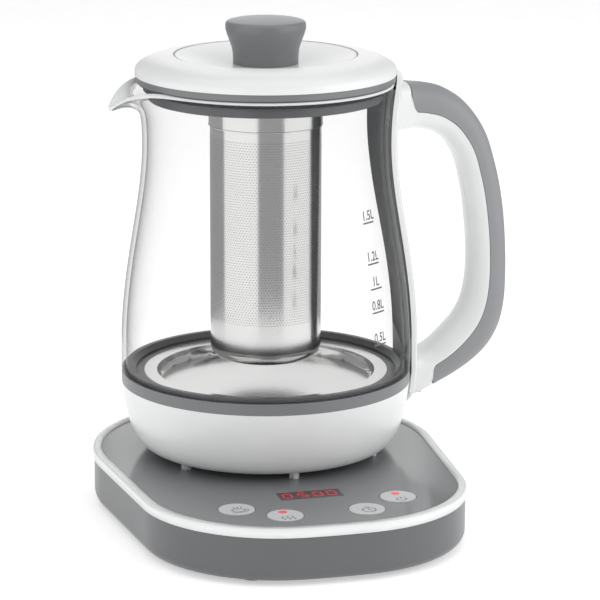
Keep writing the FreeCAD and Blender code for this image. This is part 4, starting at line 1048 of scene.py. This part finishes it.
    def strip(self) -> bpy.types.Object:
        """The white strip that hugs the glass, as a closed piece with eased edges.

        Returns:
            The piece.
        """
        rings = []
        half, ease = self.strip_half, self.strip_ease
        for row in range(self.strip_rows + 1):
            level = self.strip_tail + (self.strip_top - self.strip_tail) * row / self.strip_rows
            rise = (level - self.strip_shoulder) / (self.strip_top - self.strip_shoulder)
            wide = self.strip_narrow + (self.strip_wide - self.strip_narrow) * max(rise, 0.0)
            if rise < 0:
                wide *= max(0.04, (level - self.strip_tail) / (self.strip_shoulder - self.strip_tail))
            radius = self.side(level)
            ring = []
            for step in range(2 * half + 1):
                share = step / half - 1
                eased = radius - ease * max(0.0, (abs(share) * wide - wide + ease) / ease) ** 2
                ring.append(self.on_strip(eased, share * wide, level))
            for step in range(2 * half + 1):
                ring.append(self.on_strip(radius - self.strip_wall, (1 - step / half) * wide, level))
            rings.append(ring)
        return closed_tube("handle_strip", rings, WHITE)

    @staticmethod
    def on_strip(radius: float, across: float, level: float) -> Place:
        """A spot at a radius and a distance from the handle's middle."""
        return DATUM.place(math.sqrt(radius**2 - across**2), across, level)

    def make(self) -> None:
        """Builds the handle's three parts."""
        dressed(self.half("handle_hoop", True, WHITE), "kettle", "white_plastic", "handle_body")
        dressed(self.half("handle_grip_hoop", False, GREY_SOFT), "kettle", "grey_plastic", "handle_grip")
        dressed(self.strip(), "kettle", "white_plastic")


def closed_tube(name: str, rings: Sequence[Sequence[Place]], finish: Finish) -> bpy.types.Object:
    """A closed piece through a row of rings of equally many spots.

    Args:
        name: The piece's name.
        rings: The rings, from one end to the other.
        finish: Its finish.

    Returns:
        The piece.
    """
    count = len(rings[0])
    faces = skin(len(rings), count)
    faces.append(tuple(range(count))[::-1])
    faces.append(tuple(range((len(rings) - 1) * count, len(rings) * count)))
    mesh = bpy.data.meshes.new(name)
    mesh.from_pydata([spot for ring in rings for spot in ring], [], faces)
    return linked(name, tidied(mesh, 38.0, outward=True, gap=2e-5, thin=1e-6), finish)


@dataclass
class LidUnderside:
    """The ring under the lid and the soft seal that it carries, in millimetres over the panel."""

    skirt: tuple[Spot, ...] = (
        (57.2, 182.1), (58.6, 182.1), (59.0, 182.5), (59.0, 191.5), (56.8, 191.5), (56.8, 182.5),
    )
    seal: tuple[Spot, ...] = (
        (59.0, 186.6), (60.9, 186.6), (61.5, 187.2), (60.9, 187.9), (60.4, 188.6), (60.4, 190.6),
        (64.3, 190.6), (64.3, 191.5), (59.0, 191.5),
    )

    def make(self) -> None:
        """Turns the ring and the seal."""
        # the ring under the lid is shown in the darker copy of the grey plastic, as painted shade
        dressed(lathed("lid_skirt_turned", self.skirt, SHADED_GREY), "lid", "grey_plastic", "lid_skirt")
        dressed(lathed("lid_seal_turned", self.seal, SEAL), "lid", "seal_rubber", "lid_seal")


@dataclass
class Knob:
    """The lid's knob, waisted, with an eased edge and a low dome."""

    outline: tuple[Spot, ...] = (
        (0.0, 222.6), (8.0, 222.4), (14.0, 221.9), (17.6, 221.4), (19.2, 221.0), (19.95, 220.3),
        (20.2, 219.3), (20.15, 217.2), (19.5, 214.8), (18.7, 212.6), (17.8, 210.2), (17.0, 207.8),
        (16.6, 205.4), (16.45, 203.2), (16.4, 201.0), (16.4, 199.9), (0.0, 199.9),
    )

    def make(self) -> None:
        """Turns the knob."""
        dressed(lathed("knob_turned", self.outline, GREY, 128), "lid", "grey_plastic", "knob")


def stroke_mesh(name: str, lines: Sequence[Sequence[Spot]], width: float, centre: Place) -> bpy.types.Mesh:
    """Thin raised strokes lying flat on a surface.

    Args:
        name: The mesh's name.
        lines: Each stroke's spots in millimetres from the centre.
        width: The strokes' width in millimetres.
        centre: The middle of the drawing, in metres in the frame.

    Returns:
        The strokes as one mesh.
    """
    curve = bpy.data.curves.new(name, "CURVE")
    curve.dimensions = "3D"
    curve.bevel_depth = width / 2 * MM
    curve.bevel_resolution = 1
    curve.use_fill_caps = True
    for line in lines:
        spline = curve.splines.new("POLY")
        spline.points.add(len(line) - 1)
        for point, (x, y) in zip(spline.points, line):
            point.co = (x * MM, y * MM, 0.0, 1.0)
    mesh = baked(placed(name, curve))
    for vertex in mesh.vertices:
        x, y, z = vertex.co
        vertex.co = (centre[0] + x, centre[1] + y, centre[2] + z * 0.15)
    return tidied(mesh, 50.0, outward=True)


def bow(x: float, y: float, radius: float, start: float, end: float, steps: int = 14) -> list[Spot]:
    """Spots along an arc, between two angles in degrees."""
    angles = [math.radians(start + (end - start) * step / steps) for step in range(steps + 1)]
    return [(x + radius * math.cos(angle), y + radius * math.sin(angle)) for angle in angles]


class Sign(Enum):
    """The signs on the buttons."""

    CUP = "cup"
    HEAT = "heat"
    TIMER = "timer"
    POWER = "power"

    def lines(self) -> list[list[Spot]]:
        """The sign's strokes.

        Returns:
            Each stroke's spots, in millimetres from the sign's middle.
        """
        if self is Sign.CUP:
            cup = [(-2.6, 0.6), (-2.2, -1.6), (-1.2, -2.4), (1.2, -2.4), (2.2, -1.6), (2.6, 0.6), (-2.6, 0.6)]
            steam = [[(x, 1.5), (x + 0.5, 2.2), (x, 2.9), (x + 0.5, 3.6)] for x in (-1.4, 0.0, 1.4)]
            return [cup, bow(2.9, -0.6, 1.0, -100, 110), [(-3.2, -3.2), (3.2, -3.2)], *steam]
        if self is Sign.HEAT:
            return [
                [(x + 0.5 * math.sin(step * 0.9), -4.4 + step * 0.5) for step in range(9)]
                for x in (-2.0, 0.0, 2.0)
            ]
        if self is Sign.TIMER:
            hands = [(0, 1.2), (0, -0.4), (1.2, -1.3)]
            return [bow(0, -0.4, 2.6, 90, 450, 24), hands, [(-0.8, 3.0), (0.8, 3.0)]]
        return [bow(0, -2.4, 1.9, 125, 415, 20), [(0, 0.1), (0, -2.0)]]


@dataclass
class Controls:
    """The buttons with their printed signs and red lamps, and the lit display."""

    proud: float = 0.3
    places: tuple[Spot, ...] = ((-40.6, -99.6), (-20.4, -114.7), (20.4, -114.7), (40.6, -99.6))
    signs: tuple[Sign, ...] = (Sign.CUP, Sign.HEAT, Sign.TIMER, Sign.POWER)
    lamps: tuple[int, ...] = (2, 4)
    lamp_radius: float = 2.2
    sign_scale: float = 1.25
    sign_stroke: float = 0.62
    sign_shift: Spot = (0.5, -1.6)
    lamp_offset: float = 4.7
    display: Spot = (0.0, -85.3)
    digit_height: float = 6.4
    digit_width: float = 4.0
    bar_half: float = 0.4
    bar_gap: float = 0.12
    bar_levels: Spot = (0.01, 0.05)
    reading: tuple[str, ...] = ("abcdef", "acdfg", "abcdef", "abcdef")
    digit_places: tuple[float, ...] = (-11.4, -3.6, 3.9, 10.9)

    def make(self) -> None:
        """Builds the signs, lamps and digits."""
        for number, ((x, y), sign) in enumerate(zip(self.places, self.signs), start=1):
            body = f"button_{number}"
            centre = DATUM.place(x + self.sign_shift[0], y + self.sign_shift[1], self.proud)
            lines = [[(a * self.sign_scale, b * self.sign_scale) for a, b in line] for line in sign.lines()]
            mesh = stroke_mesh(f"sign_{number}", lines, self.sign_stroke, centre)
            dressed(linked(f"sign_{number}", mesh, ICON), body, "button_cap")
            if number in self.lamps:
                dressed(self.lamp(number, x, y + self.lamp_offset), body, "display_glass")
        dressed(self.digits(), "base", "display_glass")

    def lamp(self, number: int, x: float, y: float) -> bpy.types.Object:
        """A low red dome let into a button.

        Args:
            number: The button's number.
            x: Its middle, in millimetres from the axis.
            y: Its middle, in millimetres from the axis.

        Returns:
            The dome.
        """
        profile = [(1.0, -0.15), (1.0, 0.03), (0.93, 0.08), (0.7, 0.13), (0.35, 0.16)]
        sides = 32
        rings = [
            [DATUM.place(
                x + self.lamp_radius * r * math.cos(TURN * side / sides),
                y + self.lamp_radius * r * math.sin(TURN * side / sides),
                self.proud + z,
            ) for side in range(sides)]
            for r, z in profile
        ]
        return closed_tube(f"lamp_{number}", rings, LAMP)

    def bars(self) -> dict[str, tuple[Spot, Spot]]:
        """The seven bars of a digit.

        Returns:
            Each bar's ends by its letter, in millimetres from the digit's middle.
        """
        wide, half = self.digit_width / 2, self.digit_height / 2
        spots = {"tl": (-wide, half), "tr": (wide, half), "ml": (-wide, 0.0),
                 "mr": (wide, 0.0), "bl": (-wide, -half), "br": (wide, -half)}
        ends = {
            "a": "tl tr", "b": "tr mr", "c": "mr br", "d": "bl br", "e": "ml bl", "f": "tl ml", "g": "ml mr",
        }
        return {bar: tuple(spots[end] for end in pair.split()) for bar, pair in ends.items()}

    def digits(self) -> bpy.types.Object:
        """The four digits of the display, each bar a flat six-sided plate.

        Returns:
            The digits as one piece.
        """
        work = bmesh.new()
        bars = self.bars()
        half = self.bar_half
        for lit, shift in zip(self.reading, self.digit_places):
            middle = self.display[0] + shift
            for bar in lit:
                start, end = (Vector((*spot, 0.0)) for spot in bars[bar])
                along = (end - start).normalized()
                across = Vector((-along.y, along.x, 0.0))
                start, end = start + along * self.bar_gap, end - along * self.bar_gap
                ring = [start, start + (along + across) * half, end + (across - along) * half,
                        end, end - (along + across) * half, start + (along - across) * half]
                layers = []
                for rise in self.bar_levels:
                    layers.append([
                        work.verts.new(DATUM.place(middle + spot.x, self.display[1] + spot.y, rise))
                        for spot in ring
                    ])
                work.faces.new(layers[0])
                work.faces.new(layers[1][::-1])
                for step in range(6):
                    after = (step + 1) % 6
                    work.faces.new((layers[0][step], layers[1][step], layers[1][after], layers[0][after]))
        bmesh.ops.recalc_face_normals(work, faces=work.faces)
        mesh = bpy.data.meshes.new("display_digits")
        work.to_mesh(mesh)
        work.free()
        return linked("display_digits", mesh, DIGIT)


@dataclass
class Housing:
    """Every solid of the frame that keeps its shape, and the finish that it gets."""

    carried: tuple[Carried, ...] = (
        # the base's side wall is shown in the darker copy of the grey plastic, as painted shade
        Carried("base_housing", "base", "grey_plastic", SHADED_GREY),
        Carried("base_rim", "base", "white_plastic", WHITE),
        Carried("base_panel", "base", "panel_gloss", PANEL),
        Carried("bottom_cover", "base", "cover_plastic", COVER),
        Carried("base_feet", "base", "foot_rubber", RUBBER),
        Carried("cord_gland", "base", "gland_rubber", GLAND),
        Carried("display_lens", "base", "display_glass", WINDOW),
        *(Carried(f"button_{number}", f"button_{number}", "button_cap", BUTTON) for number in range(1, 5)),
        Carried("contact_hub", "base", "cover_plastic", COVER),
        Carried("earth_sleeve", "base", "steel", STEEL),
        Carried("contact_pin", "base", "brass", BRASS),
        Carried("base_screws", "base", "screw_steel", SCREW_STEEL),
        Carried("kettle_coupling", "kettle_socket", "cover_plastic", COVER),
        Carried("bowl_shell", "kettle", "white_plastic", WHITE),
        Carried("kettle_screws", "kettle", "screw_steel", SCREW_STEEL),
        Carried("clamp_ring", "kettle", "grey_plastic", GREY),
        Carried("glass_seal", "kettle", "seal_rubber", SEAL),
        Carried("plate_gasket", "kettle", "seal_rubber", SEAL),
        Carried("heating_plate", "kettle", "steel", STEEL),
        Carried("handle_backing", "kettle", "grey_plastic", GREY),
        Carried("lid_base", "lid", "grey_plastic", GREY),
        Carried("infuser_socket", "lid", "grey_plastic", GREY),
        Carried("lid_ring", "lid", "white_plastic", WHITE),
        Carried("lid_dish", "lid", "white_plastic", WHITE),
        Carried("knob_screw", "lid", "screw_steel", SCREW_STEEL),
        Carried("infuser_collar", "infuser", "steel", TUBE_STEEL),
    )

    @staticmethod
    def inner() -> dict[str, Finish]:
        """The hidden solids that are shown as they are.

        Returns:
            Their finishes by their nodes' names.
        """
        hidden = {
            "control_board": BOARD, "power_board": BOARD, "display_module": BLACK,
            "heating_element": SCREW_STEEL, "heat_spreader": ALUMINIUM,
            "temperature_sensor": SCREW_STEEL, "thermal_cutout": BLACK, "handle_screws": SCREW_STEEL,
        }
        return hidden | {f"switch_{number}": BLACK for number in range(1, 5)}

    def make(self) -> None:
        """Dresses the solids."""
        for solid in self.carried:
            solid.make()
        for node, finish in self.inner().items():
            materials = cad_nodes()[node].data.materials
            materials.clear()
            materials.append(finish.material())
            LOG.info("%s: %s", node, finish.name)


@dataclass(frozen=True)
class SoftLight:
    """A soft panel of light that stands round the kettle and faces it, in metres and watts."""

    name: str
    bearing: float
    width: float
    power: float
    tall: float = 1.7
    height: float = 0.8
    distance: float = 1.6
    aim: float = 0.25

    def make(self, front: float) -> None:
        """Sets the panel up.

        Args:
            front: The direction of the camera's side in radians, from which bearings count.
        """
        data = bpy.data.lights.new(self.name, "AREA")
        data.shape = "RECTANGLE"
        data.size = self.width
        data.size_y = self.tall
        data.energy = self.power
        lamp = placed(self.name, data)
        angle = math.radians(self.bearing) + front
        lamp.location = (self.distance * math.cos(angle), self.distance * math.sin(angle), self.height)
        aim = Vector((0.0, 0.0, min(self.height, self.aim))) - lamp.location
        lamp.rotation_mode = "QUATERNION"
        lamp.rotation_quaternion = aim.to_track_quat("-Z", "Y")


@dataclass
class Studio:
    """The pale floor, the soft lights, the screen for reflections and the camera."""

    sight: Place = (0.0, 0.0, 77.7)
    distance: float = 1.55
    pitch: float = 0.2405
    bearing: float = math.radians(14.7)
    lens: float = 182.62
    shift: float = 0.0572
    lights: tuple[SoftLight, ...] = (
        SoftLight("left_panel", -54.0, 2.2, 9.0), SoftLight("right_panel", 73.0, 1.9, 15.0),
    )
    overhead_size: float = 2.2
    overhead_power: float = 13.0
    overhead_place: Place = (0.0, 0.1, 1.9)
    surround: float = 0.44
    backdrop: float = 1.05
    floor_reach: float = 9.0
    floor_glow: float = 0.46
    screen_radius: float = 360.0
    screen_levels: Spot = (-27.0, 600.0)
    screen_sides: int = 96
    bands: tuple[Spot, ...] = (
        (-180, 1.25), (-163, 0.46), (-92, 1.3), (-15, 0.46), (36, 1.2), (100, 0.52), (163, 1.2),
    )
    band_edge: float = 1.5

    def camera(self) -> None:
        """Sets the camera where the photograph was taken from."""
        data = bpy.data.cameras.new("camera")
        data.lens = self.lens
        data.sensor_width = 36.0
        data.shift_x = self.shift
        data.clip_start = 0.05
        data.clip_end = 60.0
        camera = placed("camera", data)
        back = Vector((
            -math.cos(self.pitch) * math.sin(self.bearing),
            -math.cos(self.pitch) * math.cos(self.bearing),
            math.sin(self.pitch),
        ))
        camera.location = Vector(DATUM.place(*self.sight)) + back * self.distance
        camera.rotation_mode = "QUATERNION"
        camera.rotation_quaternion = (-back).to_track_quat("-Z", "Y")
        bpy.context.scene.camera = camera

    def overhead(self) -> None:
        """Sets the panel of light over the kettle."""
        data = bpy.data.lights.new("overhead", "AREA")
        data.size = self.overhead_size
        data.energy = self.overhead_power
        placed("overhead", data).location = self.overhead_place

    def screen(self) -> None:
        """Stands a banded screen round the kettle that shows in reflections only."""
        sides = self.screen_sides
        points = [
            DATUM.round(self.screen_radius, TURN * side / sides, level)
            for level in self.screen_levels for side in range(sides)
        ]
        mesh = bpy.data.meshes.new("screen")
        mesh.from_pydata(points, [], skin(2, sides))
        material = bpy.data.materials.new("screen_bands")
        material.use_nodes = True
        graph = Graph(material.node_tree)
        shader = next(n for n in graph.tree.nodes if n.type == "BSDF_PRINCIPLED")
        shader.inputs["Base Color"].default_value = (0.0, 0.0, 0.0, 1.0)
        shader.inputs["Specular IOR Level"].default_value = 0.0
        shader.inputs["Emission Strength"].default_value = 1.0
        centre = DATUM.place(0, 0, 0)
        own = graph.stretched((1, 1, 1), (-centre[0], -centre[1], 0))
        along = graph.node("ShaderNodeSeparateXYZ", {}, {0: own}, "X")
        depth = Wire(graph, along.socket.node.outputs["Y"])
        bearing = along.sum_of("ARCTAN2", 0.0 - depth) / TURN + 0.5
        turned = (bearing + self.bearing / TURN + 1.0).sum_of("MODULO", 1.0)
        stops = []
        soft = self.band_edge / 360
        level = self.bands[0][1]
        for degrees, shade in self.bands[1:]:
            spot = degrees / 360 + 0.5
            stops += [(spot - soft, (level,) * 3 + (1.0,)), (spot + soft, (shade,) * 3 + (1.0,))]
            level = shade
        ramp = graph.node("ShaderNodeValToRGB", {"stops": stops}, {0: turned})
        graph.tree.links.new(ramp.socket, shader.inputs["Emission Color"])
        mesh.materials.append(material)
        screen = placed("screen", mesh)
        for kind in ("camera", "diffuse", "transmission", "volume_scatter", "shadow"):
            setattr(screen, "visible_" + kind, False)

    def floor(self) -> None:
        """Lays the pale floor."""
        reach = self.floor_reach
        edge = [(-reach, -reach, 0), (reach, -reach, 0), (reach, reach, 0), (-reach, reach, 0)]
        mesh = bpy.data.meshes.new("floor")
        mesh.from_pydata(edge, [], [(0, 1, 2, 3)])
        pale = Finish("floor_pale", (0.93, 0.93, 0.93), 0.7, glow=self.floor_glow)
        linked("floor", mesh, pale)

    def make(self) -> None:
        """Builds the whole studio."""
        world = bpy.data.worlds.new("studio")
        bpy.context.scene.world = world
        world.use_nodes = True
        backdrop = world.node_tree.nodes["Background"]
        backdrop.inputs["Color"].default_value = (1.0, 1.0, 1.0, 1.0)
        graph = Graph(world.node_tree)
        seen = graph.node("ShaderNodeLightPath", {}, {}, "Is Camera Ray")
        strength = self.surround + (self.backdrop - self.surround) * seen
        graph.tree.links.new(strength.socket, backdrop.inputs["Strength"])
        bpy.context.scene.view_settings.view_transform = "Standard"
        self.floor()
        self.screen()
        for light in self.lights:
            light.make(-self.bearing - math.pi / 2)
        self.overhead()


def main() -> None:
    """Builds the studio and every piece."""
    logging.basicConfig(level=logging.INFO, format="%(name)s %(message)s")
    FRAME.update(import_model())
    DATUM.read()
    studio = Studio()
    studio.camera()
    studio.make()
    Housing().make()
    glass = GlassWall()
    glass.make()
    Handle(glass).make()
    Knob().make()
    LidUnderside().make()
    LitreScale(glass).make()
    Infuser().make()
    Controls().make()


if __name__ == "__main__":
    main()
